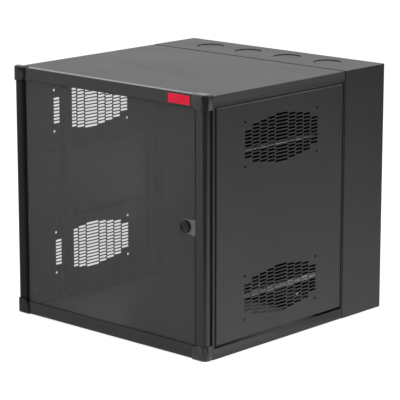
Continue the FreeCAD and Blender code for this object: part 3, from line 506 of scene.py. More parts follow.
@dataclass(frozen=True)
class Enamel:
    """Silk enamel on a small plate, a little uneven."""

    name: str
    colour: Colour
    roughness: float = 0.5
    gloss: float = 0.2

    def material(self) -> bpy.types.Material:
        """Build the material.

        Returns:
            The material.
        """
        paint = Paint(self.name)
        edge = paint.group("soft edge", radius=0.5 * MM, wear=0.4)
        cloud = paint.group("cloud", scale=60.0, streak=0.5)
        grain = paint.group("mould grain", scale=900.0)
        tone = paint.blend(cloud["Tone"], shade(self.colour, 0.9), shade(self.colour, 1.08))
        rim = paint.blend(edge["Edge"], tone, shade(self.colour, 1.5))
        rough = paint.sum("ADD", paint.sum("MULTIPLY", cloud["Wipe"], 0.1), self.roughness)
        normal = paint.bump(grain["Height"], 0.008 * MM, edge["Normal"])
        paint.set(base_color=rim, roughness=rough, normal=normal, specular_ior_level=self.gloss)
        return paint.material


class Finishes:
    """All the cabinet's materials, built once."""

    def __init__(self) -> None:
        """Build the shared groups and then each finish."""
        for make in (make_soft_edge_group, make_orange_peel_group, make_cloud_group,
                     make_dust_group, make_grain_group, make_spangle_group):
            make()
        black = (0.026, 0.027, 0.028)
        shell = PowderCoat("shell powder coat", black)
        self.shell = shell.material()
        self.pan = replace(shell, name="pan powder coat", rounding=3.4 * MM).material()
        # Above flange_top the side panels' top bends get thick dust colour, which is a painted
        # highlight.
        flange_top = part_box("side_panel_right")[1].z - 6 * MM
        self.panel = replace(shell, name="panel powder coat", gloss=0.56,
                             ledge=flange_top).material()
        door = PowderCoat("door powder coat", (0.020, 0.021, 0.022), gloss=0.1, coat=0.8)
        self.door = door.material()
        # A darker copy of the door coat for the left stile: the darker colour is painted shade.
        self.shaded_hinge_stile = replace(door, name="hinge stile coat in painted shade", dust=0.05, wear=0.0,
                                   colour=(0.010, 0.010, 0.011), roughness=0.14,
                                   rounding=14 * MM, gloss=0.16, coat=0.0).material()
        self.rail = PowderCoat("rack rail powder coat", (0.045, 0.045, 0.047),
                               roughness=0.45).material()
        self.zinc = ZincPlate("zinc plate").material()
        cap = MouldedPlastic("cap plastic", (0.018, 0.018, 0.019), roughness=0.24, gloss=0.8)
        self.cap = cap.material()
        self.hinge_cap = replace(cap, name="hinge cap plastic", gloss=0.30,
                                 rounding=6 * MM).material()
        self.wing = MouldedPlastic("wing plastic", (0.022, 0.022, 0.023)).material()
        self.knob = MouldedPlastic("knob plastic", (0.010, 0.010, 0.011), roughness=0.32,
                                   depth=0.01 * MM).material()
        self.latch = MouldedPlastic("latch plate", (0.16, 0.16, 0.165), roughness=0.4).material()
        self.window = SmokedSheet("smoked sheet").material()
        self.red = Enamel("red enamel", (0.86, 0.014, 0.050)).material()

    def for_slot(self, slot: Slot) -> bpy.types.Material:
        """Give the material that a record slot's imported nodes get.

        Args:
            slot: the record's slot.

        Returns:
            The material.
        """
        return {Slot.POWDER: self.shell, Slot.RAIL: self.rail, Slot.ZINC: self.zinc,
                Slot.PLASTIC: self.cap, Slot.KNOB: self.knob, Slot.LATCH: self.latch,
                Slot.WINDOW: self.window}[slot]


# ---------------------------------------------------------------- meshes


def new_piece(name: str, mesh: bpy.types.Mesh, material: bpy.types.Material) -> bpy.types.Object:
    """Put a finished mesh into the scene as an object at the origin.

    Args:
        name: the piece's name.
        mesh: its mesh, with its place in it.
        material: its one material.

    Returns:
        The new object.
    """
    piece = bpy.data.objects.new(name, mesh)
    mesh.name = name
    mesh.materials.clear()
    mesh.materials.append(material)
    bpy.context.scene.collection.objects.link(piece)
    return piece


def settle(piece: bpy.types.Object, part: Part, replaced: Sequence[str] = ()) -> None:
    """Make a piece ride on its body and hide the nodes that it stands for.

    Args:
        piece: the finished piece.
        part: the body that it moves with.
        replaced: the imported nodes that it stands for.
    """
    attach(piece, part.value)
    if replaced:
        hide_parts(*replaced)
    log.info("%s: %d faces on %s", piece.name, len(piece.data.polygons), part.value)


def finish_mesh(shape: bmesh.types.BMesh) -> bpy.types.Mesh:
    """Merge a shape's doubles and turn its faces outwards.

    Args:
        shape: the shape, which is freed.

    Returns:
        It as a mesh.
    """
    bmesh.ops.remove_doubles(shape, verts=shape.verts, dist=MERGE)
    bmesh.ops.recalc_face_normals(shape, faces=shape.faces)
    mesh = bpy.data.meshes.new("shape")
    shape.to_mesh(mesh)
    shape.free()
    return mesh


def smooth_by_angle(mesh: bpy.types.Mesh, degrees: float = 32.0) -> None:
    """Shade a mesh smooth, with creases where its faces meet sharply.

    Args:
        mesh: the mesh.
        degrees: the angle between two faces above which their edge is a crease.
    """
    for face in mesh.polygons:
        face.use_smooth = True
    mesh.set_sharp_from_angle(angle=math.radians(degrees))


def bake(piece: bpy.types.Object) -> bpy.types.Mesh:
    """Evaluate a piece's modifiers once, keep the result as its mesh and take them off.

    Args:
        piece: the piece with its modifiers.

    Returns:
        Its new mesh.
    """
    evaluated = piece.evaluated_get(bpy.context.evaluated_depsgraph_get())
    mesh = bpy.data.meshes.new_from_object(evaluated)
    piece.modifiers.clear()
    piece.data = mesh
    mesh.name = piece.name
    return mesh


def shade_smooth(piece: bpy.types.Object, degrees: float = 32.0) -> None:
    """Shade a piece smooth over its bends, while its flats stay flat and its creases sharp.

    Args:
        piece: the piece.
        degrees: the angle between two faces above which their edge is a crease.
    """
    smooth_by_angle(piece.data, degrees)
    weights = piece.modifiers.new("flats", "WEIGHTED_NORMAL")
    weights.keep_sharp = True
    weights.weight = 100
    bake(piece)


def ring_of(points: Sequence[Point], level: float) -> list[Vector]:
    """Give flat points as vectors at one level."""
    return [Vector((across, up, level)) for across, up in points]


def skin_loops(shape: bmesh.types.BMesh, loops: Sequence[Sequence[Vector]],
               capped: bool = True) -> None:
    """Join each loop to the next with quads.

    Args:
        shape: the mesh to add to.
        loops: rows of points, all of one length and in one order.
        capped: whether the first and the last loop are filled.
    """
    rows = [[shape.verts.new(point) for point in loop] for loop in loops]
    for near, far in zip(rows, rows[1:]):
        count = len(near)
        for turn in range(count):
            after = (turn + 1) % count
            shape.faces.new((near[turn], near[after], far[after], far[turn]))
    if capped:
        shape.faces.new(list(reversed(rows[0])))
        shape.faces.new(rows[-1])


def arc(centre: Point, radius: float, start: float, end: float, steps: int) -> list[Point]:
    """Give points along an arc, both ends included.

    Args:
        centre: its centre.
        radius: its radius.
        start: the first angle, in degrees.
        end: the last angle, in degrees.
        steps: how many chords it has.

    Returns:
        The points in order.
    """
    across, up = centre
    turns = [math.radians(start + (end - start) * step / steps) for step in range(steps + 1)]
    return [(across + radius * math.cos(turn), up + radius * math.sin(turn)) for turn in turns]


def shrink(outline: Sequence[Point], amount: float) -> list[Point]:
    """Move each point of a closed outline inwards along its corner's bisector.

    Args:
        outline: the points, anticlockwise.
        amount: how far each side moves in.

    Returns:
        As many points, moved.
    """
    moved = []
    count = len(outline)
    for turn in range(count):
        before, here, after = (Vector(outline[(turn + step) % count]) for step in (-1, 0, 1))
        first, second = (here - before).normalized(), (after - here).normalized()
        normal_a, normal_b = Vector((-first.y, first.x)), Vector((-second.y, second.x))
        bisector = (normal_a + normal_b).normalized()
        reach = amount / max(0.2, bisector.dot(normal_a))
        moved.append(tuple(here + bisector * reach))
    return moved


def soft_plate(outline: Sequence[Point], thick: float, edge: float) -> bmesh.types.BMesh:
    """Build a plate on the XY plane whose front edge is rounded.

    Args:
        outline: its outline, anticlockwise.
        thick: its thickness, along +Z.
        edge: the radius of its front edge.

    Returns:
        The plate as a bmesh.
    """
    steps = 3
    shape = bmesh.new()
    loops = [ring_of(outline, 0.0)]
    for step in range(steps + 1):
        turn = math.pi / 2 * step / steps
        inset, rise = edge * (1 - math.cos(turn)), edge * math.sin(turn)
        loops.append(ring_of(shrink(outline, inset), thick - edge + rise))
    skin_loops(shape, loops)
    return shape


def lathe(profile: Sequence[Point], sides: int) -> bmesh.types.BMesh:
    """Turn a profile of (radius, height) pairs round the Z axis.

    Args:
        profile: from the axis at the foot to the axis at the top.
        sides: how many sides the turning has.

    Returns:
        The closed shape as a bmesh.
    """
    shape = bmesh.new()
    turns = [2 * math.pi * side / sides for side in range(sides)]
    loops = [[Vector((radius * math.cos(turn), radius * math.sin(turn), height)) for turn in turns]
             for radius, height in profile]
    skin_loops(shape, loops)
    return shape


FACE_FRONT = Matrix.Rotation(math.pi / 2, 4, "X")  # the XY plane's front turned to look along -Y


# ---------------------------------------------------------------- geometry nodes


class Recipe(Graph):
    """A Geometry Nodes tree with named inputs, and the call that turns it into a piece."""

    def __init__(self, name: str, **sizes: float) -> None:
        """Start a tree.

        Args:
            name: the tree's name.
            **sizes: its named inputs, with underscores for spaces.
        """
        super().__init__(bpy.data.node_groups.new(name, "GeometryNodeTree"))
        sockets = self.tree.interface
        sockets.new_socket("Geometry", in_out="OUTPUT", socket_type="NodeSocketGeometry")
        self.values: dict[str, float] = {}
        for label, value in sizes.items():
            title = label.replace("_", " ")
            item = sockets.new_socket(title, in_out="INPUT", socket_type="NodeSocketFloat")
            self.values[item.identifier] = value
        self.entry = self.add("NodeGroupInput").outputs

    def size(self, name: str) -> bpy.types.NodeSocket:
        """Give the socket of a named input."""
        return self.entry[name.replace("_", " ")]

    def times(self, name: str, factor: float) -> bpy.types.NodeSocket:
        """Give a named input times a factor."""
        return self.sum("MULTIPLY", self.size(name), factor)

    def vector(self, across: Any = 0.0, up: Any = 0.0, out: Any = 0.0) -> bpy.types.NodeSocket:
        """Join three numbers into a vector."""
        return self.add("ShaderNodeCombineXYZ", {0: across, 1: up, 2: out}).outputs[0]

    def line(self, count: Any, start: Any, step: Any) -> bpy.types.NodeSocket:
        """Add a row of points.

        Args:
            count: how many points.
            start: the first point.
            step: the vector from each point to the next.

        Returns:
            The socket with the row.
        """
        inputs = {"Count": count, "Start Location": start, "Offset": step}
        return self.add("GeometryNodeMeshLine", inputs).outputs[0]

    def spread(self, points: Any, shape: Any) -> bpy.types.NodeSocket:
        """Put a copy of a shape on every point and make the copies real.

        Args:
            points: the socket with the points.
            shape: the socket with the shape.

        Returns:
            The socket with the copies.
        """
        inputs = {"Points": points, "Instance": shape}
        copies = self.add("GeometryNodeInstanceOnPoints", inputs).outputs[0]
        return self.add("GeometryNodeRealizeInstances", {"Geometry": copies}).outputs[0]

    def join(self, shapes: Sequence[Any]) -> bpy.types.NodeSocket:
        """Join several geometries into one.

        Args:
            shapes: their sockets.

        Returns:
            The socket with all of them.
        """
        node = self.add("GeometryNodeJoinGeometry")
        for shape in shapes:
            self.tree.links.new(shape, node.inputs[0])
        return node.outputs[0]

    def box(self, width: Any, height: Any) -> bpy.types.NodeSocket:
        """Add a rectangle, as a curve round the origin."""
        inputs = {"Width": width, "Height": height}
        return self.add("GeometryNodeCurvePrimitiveQuadrilateral", inputs).outputs[0]

    def slot(self, length: Any, height: Any, corner: Any) -> bpy.types.NodeSocket:
        """Add a rectangle with rounded corners, as a curve round the origin.

        Args:
            length: its length across.
            height: its height.
            corner: its corners' radius.

        Returns:
            The socket with the curve.
        """
        steps = 4
        inputs = {"Curve": self.box(length, height), "Radius": corner, "Limit Radius": True,
                  "Count": steps}
        return self.add("GeometryNodeFilletCurve", inputs, mode="POLY").outputs[0]

    def sheet(self, outline: Any, holes: Any, thick: Any) -> bpy.types.NodeSocket:
        """Fill an outline less its holes and give the sheet its thickness, along -Z.

        Args:
            outline: the curve of the sheet's edge.
            holes: the curves of its holes.
            thick: its thickness.

        Returns:
            The socket with the closed sheet.
        """
        inputs = {"Curve": self.join([outline, holes])}
        flat = self.add("GeometryNodeFillCurve", inputs, mode="TRIANGLES").outputs[0]
        back = self.sum("MULTIPLY", thick, -1.0)
        inputs = {"Mesh": flat, "Offset Scale": back, "Individual": False}
        pushed = self.add("GeometryNodeExtrudeMesh", inputs, mode="FACES").outputs[0]
        turned = self.add("GeometryNodeFlipFaces", {"Mesh": flat}).outputs[0]
        inputs = {"Geometry": self.join([pushed, turned]), "Distance": MERGE}
        return self.add("GeometryNodeMergeByDistance", inputs).outputs[0]

    def result(self, name: str, shape: Any, material: bpy.types.Material) -> bpy.types.Object:
        """End the tree, evaluate it once and keep what it makes as a plain piece.

        Args:
            name: the piece's name.
            shape: the socket with the finished geometry.
            material: the piece's material.

        Returns:
            The piece, with no modifier left on it.
        """
        real = self.add("GeometryNodeRealizeInstances", {"Geometry": shape}).outputs[0]
        inputs = {"Geometry": real, "Material": material}
        painted = self.add("GeometryNodeSetMaterial", inputs).outputs[0]
        self.add("NodeGroupOutput", {0: painted})
        piece = new_piece(name, bpy.data.meshes.new(name), material)
        modifier = piece.modifiers.new("recipe", "NODES")
        modifier.node_group = self.tree
        for identifier, value in self.values.items():
            modifier[identifier] = value
        mesh = bake(piece)
        mesh.materials.clear()
        mesh.materials.append(material)
        for face in mesh.polygons:
            face.material_index = 0
        return piece


# ---------------------------------------------------------------- sub-assemblies


@dataclass
class Dressing:
    """What every sub-assembly needs: the finishes."""

    finishes: Finishes


@dataclass
class FoldedSheet(Dressing):
    """A sheet whose four edges are folded back into flanges, with or without a lip behind."""

    bend: float
    sheet: float
    back_lip: float = 0.0
    bend_steps: int = 5

    def cross_section(self, depth: float) -> list[Point]:
        """Give the section through a flange, from the sheet's front round to its back.

        Args:
            depth: how deep the flanges are.

        Returns:
            Pairs of how far inside the panel's outline and how far behind its face.
        """
        turns = [math.pi / 2 * step / self.bend_steps for step in range(self.bend_steps + 1)]
        inner = self.bend - self.sheet
        section = [(self.bend * (1 - math.sin(turn)), self.bend * (1 - math.cos(turn)))
                   for turn in turns]
        if self.back_lip:
            section += [(0.0, depth - self.sheet), (-self.back_lip, depth - self.sheet)]
        section += [(-self.back_lip, depth), (self.sheet, depth)]
        section += [(self.bend - inner * math.sin(turn), self.bend - inner * math.cos(turn))
                    for turn in reversed(turns)]
        return section

    def fold_rim(self, mesh: bpy.types.Mesh, length: float, height: float, depth: float) -> None:
        """Fold the sheet's four edges back into flanges.

        Args:
            mesh: the flat sheet, whose outline walls are taken away.
            length: the panel's length over its flanges.
            height: its height over its flanges.
            depth: how deep the flanges are.
        """
        shape = bmesh.new()
        shape.from_mesh(mesh)
        reach, rise = length / 2 - self.bend, height / 2 - self.bend

        def on_edge(vert: bmesh.types.BMVert) -> bool:
            """Tell whether a point lies on the sheet's outline."""
            return abs(abs(vert.co.x) - reach) < GRAZE or abs(abs(vert.co.y) - rise) < GRAZE

        walls = [face for face in shape.faces
                 if all(on_edge(vert) for vert in face.verts) and abs(face.normal.z) < 0.5]
        bmesh.ops.delete(shape, geom=walls, context="FACES")
        loops = []
        for inset, down in self.cross_section(depth):
            side, top = length / 2 - inset, height / 2 - inset
            loops.append([Vector((x, y, -down)) for x, y in
                          ((-side, -top), (side, -top), (side, top), (-side, top))])
        skin_loops(shape, loops, capped=False)
        bmesh.ops.remove_doubles(shape, verts=shape.verts, dist=2 * MERGE)
        bmesh.ops.recalc_face_normals(shape, faces=shape.faces)
        shape.to_mesh(mesh)
        shape.free()


@dataclass
class VentPanel(FoldedSheet):
    """A side panel: a folded tray with two fields of round-ended slots and fan screw holes."""

    side: Side = Side.RIGHT
    bend: float = 3.2 * MM
    sheet: float = 1.2 * MM
    back_lip: float = 2.2 * MM
    gap: float = 0.4 * MM
    slot_height: float = 5.4 * MM
    slot_pitch: float = 8.1 * MM
    slot_length: float = 24.1 * MM
    middle_length: float = 42.1 * MM
    end_round: float = 0.49
    web: float = 1.9 * MM
    vent_rise: float = 174 * MM
    fan_hole: float = 3.1 * MM
    fan_across: float = 246 * MM
    fan_up: float = 100 * MM
    rows: tuple[int, ...] = (14, 13, 12, 11, 8)

    @property
    def node(self) -> str:
        """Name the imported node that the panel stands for."""
        return f"side_panel_{self.side.name.lower()}"

    def column_place(self, number: int) -> float:
        """Give how far a column's middle is from the middle column's.

        Args:
            number: the column, counted from the middle one, which is 0.

        Returns:
            The distance.
        """
        if number == 0:
            return 0.0
        reach = (self.middle_length + (2 * number - 1) * self.slot_length) / 2
        return reach + number * self.web

    def build(self) -> bpy.types.Object:
        """Build the panel: the perforated sheet, then its folded rim.

        Returns:
            The finished piece.
        """
        low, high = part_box(self.node)
        high = high - Vector((0.0, self.gap, self.gap))
        length, height, depth = high.y - low.y, high.z - low.z, high.x - low.x
        recipe = Recipe("perforated sheet", length=length - 2 * self.bend,
                        height=height - 2 * self.bend, sheet=self.sheet,
                        slot_height=self.slot_height, pitch=self.slot_pitch,
                        vent_rise=self.vent_rise, fan_hole=self.fan_hole)
        holes = self.slots(recipe) + [self.fan_holes(recipe)]
        outline = recipe.box(recipe.size("length"), recipe.size("height"))
        face = recipe.sheet(outline, recipe.join(holes), recipe.size("sheet"))
        piece = recipe.result(f"vent_panel_{self.side.name.lower()}", face, self.finishes.panel)
        self.fold_rim(piece.data, length, height, depth)
        self.stand_up(piece.data, low, high)
        shade_smooth(piece)
        settle(piece, Part.MAIN, [self.node])
        return piece

    def slots(self, recipe: Recipe) -> list[bpy.types.NodeSocket]:
        """Add every column of both vents as rows of slot outlines.

        Args:
            recipe: the tree that they are added to.

        Returns:
            The sockets with the rows.
        """
        fields = []
        for number, count in enumerate(self.rows):
            length = self.middle_length if number == 0 else self.slot_length
            corner = recipe.times("slot_height", self.end_round)
            shape = recipe.slot(length, recipe.size("slot_height"), corner)
            for side in ((0.0,) if number == 0 else (1.0, -1.0)):
                for vent in (1.0, -1.0):
                    foot = recipe.times("pitch", -(count - 1) / 2)
                    start = recipe.sum("ADD", recipe.times("vent_rise", vent), foot)
                    place = recipe.vector(side * self.column_place(number), start)
                    points = recipe.line(count, place, recipe.vector(0.0, recipe.size("pitch")))
                    fields.append(recipe.spread(points, shape))
        return fields

    def fan_holes(self, recipe: Recipe) -> bpy.types.NodeSocket:
        """Add four screw holes round each vent.

        Args:
            recipe: the tree that they are added to.

        Returns:
            The socket with the holes' outlines.
        """
        inputs = {"Resolution": 14, "Radius": recipe.size("fan_hole")}
        ring = recipe.add("GeometryNodeCurvePrimitiveCircle", inputs).outputs[0]
        rows = []
        for side in (0.5, -0.5):
            for vent in (1.0, -1.0):
                start = recipe.sum("SUBTRACT", recipe.times("vent_rise", vent), self.fan_up / 2)
                place = recipe.vector(side * self.fan_across, start)
                rows.append(recipe.line(2, place, recipe.vector(0.0, self.fan_up)))
        return recipe.spread(recipe.join(rows), ring)

    def stand_up(self, mesh: bpy.types.Mesh, low: Vector, high: Vector) -> None:
        """Turn the flat panel upright and put it in its place, its front facing out.

        Args:
            mesh: the panel's mesh, lying on the XY plane.
            low: the low corner of the box that it fills.
            high: the high corner.
        """
        middle = (low + high) / 2
        face = high.x if self.side is Side.RIGHT else low.x
        out = self.side.value
        turn = Matrix(((0, 0, out, face), (out, 0, 0, middle.y), (0, 1, 0, middle.z), (0, 0, 0, 1)))
        mesh.transform(turn)


@dataclass
class EndPlate(FoldedSheet):
    """The wall section's top or bottom: a shallow tray with a row of knock-outs."""

    node: str = "wall_top_plate"
    bend: float = 2.0 * MM
    sheet: float = 1.5 * MM
    radius: float = 32.5 * MM
    cut: float = 1.2 * MM
    press: float = 2.0 * MM
    web: float = 7 * MM
    pitch: float = 124 * MM
    back: float = 4 * MM
    count: int = 4

    @property
    def is_top(self) -> bool:
        """Tell whether this is the top plate. The bottom one is turned over."""
        return self.node == "wall_top_plate"

    @property
    def row_start(self) -> Point:
        """Give the middle of the first knock-out on the flat sheet."""
        return -self.pitch * (self.count - 1) / 2, self.back if self.is_top else -self.back

    def build(self) -> bpy.types.Object:
        """Build the plate.

        Returns:
            The finished piece.
        """
        low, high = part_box(self.node)
        low = low + Vector((0.0, PLATE_SEAM, 0.0))
        width, depth, lip = high.x - low.x, high.y - low.y, high.z - low.z
        recipe = Recipe("knock-out sheet", width=width - 2 * self.bend,
                        depth=depth - 2 * self.bend, sheet=self.sheet, radius=self.radius,
                        cut=self.cut, pitch=self.pitch)
        outline = recipe.box(recipe.size("width"), recipe.size("depth"))
        face = recipe.sheet(outline, self.rings(recipe), recipe.size("sheet"))
        piece = recipe.result(self.node.replace("plate", "tray"), face, self.finishes.shell)
        self.press_discs(piece.data)
        self.fold_rim(piece.data, width, depth, lip)
        level, over = (high.z, 0.0) if self.is_top else (low.z, math.pi)
        middle = (low + high) / 2
        place = Matrix.Translation((middle.x, middle.y, level))
        piece.data.transform(place @ Matrix.Rotation(over, 4, "X"))
        shade_smooth(piece)
        settle(piece, Part.WALL, [self.node])
        return piece

    def press_discs(self, mesh: bpy.types.Mesh) -> None:
        """Push every knock-out's disc a little way in, as a press leaves it.

        Args:
            mesh: the sheet with its cuts, still flat.
        """
        first, up = self.row_start
        centres = [Vector((first + self.pitch * number, up)) for number in range(self.count)]
        for vert in mesh.vertices:
            if any((vert.co.xy - centre).length < self.radius for centre in centres):
                vert.co.z -= self.press

    def rings(self, recipe: Recipe) -> bpy.types.NodeSocket:
        """Add each knock-out as two thin half rings that stop short of its webs.

        Args:
            recipe: the tree that they are added to.

        Returns:
            The socket with the rings' outlines.
        """
        gap = math.asin(self.web / 2 / self.radius)
        bands = []
        for start in (gap, math.pi + gap):
            inputs = {"Resolution": 40, "Radius": recipe.size("radius"), "Start Angle": start,
                      "Sweep Angle": math.pi - 2 * gap}
            path = recipe.add("GeometryNodeCurveArc", inputs, mode="RADIUS").outputs[0]
            ends = {"Start": recipe.vector(recipe.times("cut", -0.5)),
                    "End": recipe.vector(recipe.times("cut", 0.5))}
            profile = recipe.add("GeometryNodeCurvePrimitiveLine", ends).outputs[0]
            inputs = {"Curve": path, "Profile Curve": profile}
            bands.append(recipe.add("GeometryNodeCurveToMesh", inputs).outputs[0])
        start = recipe.vector(recipe.times("pitch", -(self.count - 1) / 2), self.row_start[1])
        points = recipe.line(self.count, start, recipe.vector(recipe.size("pitch")))
        all_bands = recipe.spread(points, recipe.join(bands))
        faces = recipe.add("GeometryNodeInputMeshEdgeNeighbors").outputs[0]
        lone = recipe.add("FunctionNodeCompare", data_type="INT", operation="EQUAL")
        recipe.feed(lone.inputs[2], faces)
        recipe.feed(lone.inputs[3], 1)
        inputs = {"Mesh": all_bands, "Selection": lone.outputs[0]}
        return recipe.add("GeometryNodeMeshToCurve", inputs).outputs[0]


@dataclass
class DoorLatch(Dressing):
    """The turning knob with its lock core, and the plate behind it."""

    height_share: float = 0.55
    foot: float = 0.3 * MM
    skirt: float = 0.8 * MM
    grip_inset: float = 2.6 * MM
    grip_round: float = 1.7 * MM
    rim_width: float = 3.4 * MM
    sink: float = 1.6 * MM
    core: float = 5.6 * MM
    core_drop: float = 0.7 * MM
    spindle: float = 4.9 * MM
    axis_gap: float = 0.2 * MM
    sides: int = 72
    plate_edge: float = 0.5 * MM
    plate_round: tuple[float, float] = (78, 282)
    plate_hollow: float = 1.3 * MM

    def build(self) -> None:
        """Build the knob, its core and the plate."""
        self.build_knob()
        self.build_plate()

    def knob_profile(self, radius: float, tall: float) -> list[Point]:
        """Give the knob's profile from the spindle's end to the middle of its lock core.

        Args:
            radius: the skirt's radius.
            tall: how far the knob stands in front of its plate.

        Returns:
            Pairs of radius and height.
        """
        rim = radius - self.grip_inset
        inner = rim - self.rim_width
        skirt_top = self.foot + self.skirt
        spindle_end = -tall * 0.6
        spindle = [(self.axis_gap, spindle_end), (self.spindle, spindle_end),
                   (self.spindle, self.foot)]
        skirt = [(radius, self.foot), (radius, skirt_top),
                 (radius - 0.5 * MM, skirt_top + 0.4 * MM),
                 (radius - 0.9 * MM, skirt_top + 1.0 * MM)]
        grip = [(rim + x, tall - self.grip_round + y)
                for x, y in arc((0, 0), self.grip_round, 0, 90, 6)]
        sunk_face = [(inner, tall), (inner - 0.5 * MM, tall - 0.4 * MM),
                     (inner - 0.9 * MM, tall - self.sink),
                     (self.core + 0.6 * MM, tall - self.sink)]
        core = [(self.core, tall - self.sink + 0.4 * MM),
                (self.core - 0.3 * MM, tall - self.core_drop),
                (self.axis_gap, tall - self.core_drop)]
        return spindle + skirt + grip + sunk_face + core

    def build_knob(self) -> None:
        """Turn the knob: a skirt, a soft grip and a sunk face round the lock core."""
        low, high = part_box("latch_knob")
        plate_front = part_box("latch_plate")[0].y
        centre = Vector(((low.x + high.x) / 2, plate_front, (low.z + high.z) / 2))
        radius, tall = (high.x - low.x) / 2, (plate_front - low.y) * self.height_share
        mesh = finish_mesh(lathe(self.knob_profile(radius, tall), self.sides))
        mesh.transform(Matrix.Translation(centre) @ FACE_FRONT)
        smooth_by_angle(mesh, 40.0)
        piece = new_piece("turning_knob", mesh, self.finishes.knob)
        settle(piece, Part.LATCH, ["latch_knob"])

    def build_plate(self) -> None:
        """Cut the plate: round behind the knob, with two hollow sides that flare to the stile."""
        low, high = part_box("latch_plate")
        knob_low, knob_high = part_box("latch_knob")
        middle_x, middle_z = (knob_low.x + knob_high.x) / 2, (knob_low.z + knob_high.z) / 2
        radius, end, half = middle_x - low.x, high.x - middle_x, (high.z - low.z) / 2
        round_part = arc((0, 0), radius, *self.plate_round, 26)
        flare = self.hollow_side(round_part[-1], (end, -half), -1)
        back = self.hollow_side(round_part[0], (end, half), 1)
        outline = round_part + flare + list(reversed(back))
        mesh = finish_mesh(soft_plate(outline, high.y - low.y, self.plate_edge))
        mesh.transform(Matrix.Translation((middle_x, high.y, middle_z)) @ FACE_FRONT)
        smooth_by_angle(mesh, 30.0)
        piece = new_piece("latch_back_plate", mesh, self.finishes.latch)
        settle(piece, Part.DOOR, ["latch_plate"])

    def hollow_side(self, start: Point, end: Point, side: int) -> list[Point]:
        """Give the points of one hollow side, from the round part to the stile.

        Args:
            start: where it leaves the round part.
            end: where it meets the stile.
            side: 1 for the upper side, -1 for the lower one.

        Returns:
            The points after start, end included.
        """
        chords = 8
        points = []
        for step in range(1, chords + 1):
            share = step / chords
            sag = math.sin(math.pi * share) * self.plate_hollow
            points.append((start[0] + (end[0] - start[0]) * share,
                           start[1] + (end[1] - start[1]) * share - side * sag))
        return points


@dataclass
class BadgePlate(Dressing):
    """The bare red plate on the right end of the door's top rail."""

    width: float = 64 * MM
    height: float = 21 * MM
    inset: float = 45 * MM
    drop: float = 0.5 * MM
    thick: float = 1.1 * MM
    corner: float = 1.6 * MM
    edge: float = 0.45 * MM

    def build(self) -> bpy.types.Object:
        """Build the plate and seat it on the rail's face.

        Returns:
            The finished piece.
        """
        low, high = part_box("door_rail_top")
        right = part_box("door_stile_right")[1].x
        middle = Vector((right - self.inset - self.width / 2, low.y,
                         (low.z + high.z) / 2 - self.drop))
        across, up = self.width / 2 - self.corner, self.height / 2 - self.corner
        outline = []
        for x, y, start in ((1, 1, 0), (-1, 1, 90), (-1, -1, 180), (1, -1, 270)):
            outline += arc((x * across, y * up), self.corner, start, start + 90, 4)
        mesh = finish_mesh(soft_plate(outline, self.thick, self.edge))
        mesh.transform(Matrix.Translation(middle) @ FACE_FRONT)
        smooth_by_angle(mesh, 30.0)
        piece = new_piece("red_plate", mesh, self.finishes.red)
        settle(piece, Part.DOOR)
        return piece


@dataclass
class SmoothNodes(Dressing):
    """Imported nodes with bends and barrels, copied so that their curves are shaded smooth."""

    rounded: dict[Part, tuple[str, ...]] = field(default_factory=lambda: {
        Part.WALL: ("wall_shell", "hinge_leaves_wall", "hinge_pins"),
        Part.MAIN: ("body_top_pan", "body_bottom_pan", "hinge_leaves_body", "hinge_tabs"),
        Part.DOOR: ("door_stile_right", "door_stile_left", "door_rail_top", "door_rail_bottom",
                    "door_caps_right", "door_caps_left", "door_pivots"),
    })
    merge: float = 0.002 * MM
    crease: float = 28.0
    roll: float = 12.0 * MM
    tight_roll: float = 8.0 * MM
    roll_sheet: float = 2.0 * MM

    def build(self) -> None:
        """Copy each node, merge its loose corners, and shade it."""
        for part, names in self.rounded.items():
            for name in names:
                node = frame["nodes"][name]
                shape = bmesh.new()
                shape.from_mesh(node.data)
                bmesh.ops.remove_doubles(shape, verts=shape.verts, dist=self.merge)
                if name == "wall_shell":
                    self.hold_back(shape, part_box(name)[0].y + SIDE_SEAM)
                if name == "door_stile_right":
                    self.tighten_roll(shape, name)
                mesh = bpy.data.meshes.new(name)
                shape.to_mesh(mesh)
                shape.free()
                piece = new_piece(f"smooth_{name}", mesh, node.material_slots[0].material)
                shade_smooth(piece, self.crease)
                settle(piece, part, [name])

    def hold_back(self, shape: bmesh.types.BMesh, front: float) -> None:
        """Keep every corner of a shape behind a plane across Y.

        The wall section's front returns get thin by this, but stay clear of the latch cams.
        """
        for vert in shape.verts:
            vert.co.y = max(vert.co.y, front)

    def tighten_roll(self, shape: bmesh.types.BMesh, name: str) -> None:
        """Bend the right stile's rolled edge more tightly, between the same two flats.

        Args:
            shape: the stile's mesh.
            name: the stile's node.
        """
        low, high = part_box(name)
        less = self.roll - self.tight_roll
        nearest = self.roll - self.roll_sheet
        for vert in shape.verts:
            reach = Vector((vert.co.x - high.x + self.roll, vert.co.y - low.y - self.roll))
            if reach.x < -GRAZE or reach.y > GRAZE or reach.length < nearest:
                continue
            moved = reach.normalized() * (reach.length - less)
            vert.co.x = high.x - self.tight_roll + moved.x
            vert.co.y = low.y + self.tight_roll + moved.y


def slot_of(node: str) -> Slot:
    """Give the record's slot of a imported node."""
    rows = frame["record"]["subparts"]
    return next(Slot(row["material_slot"]) for row in rows if row["node"] == node)


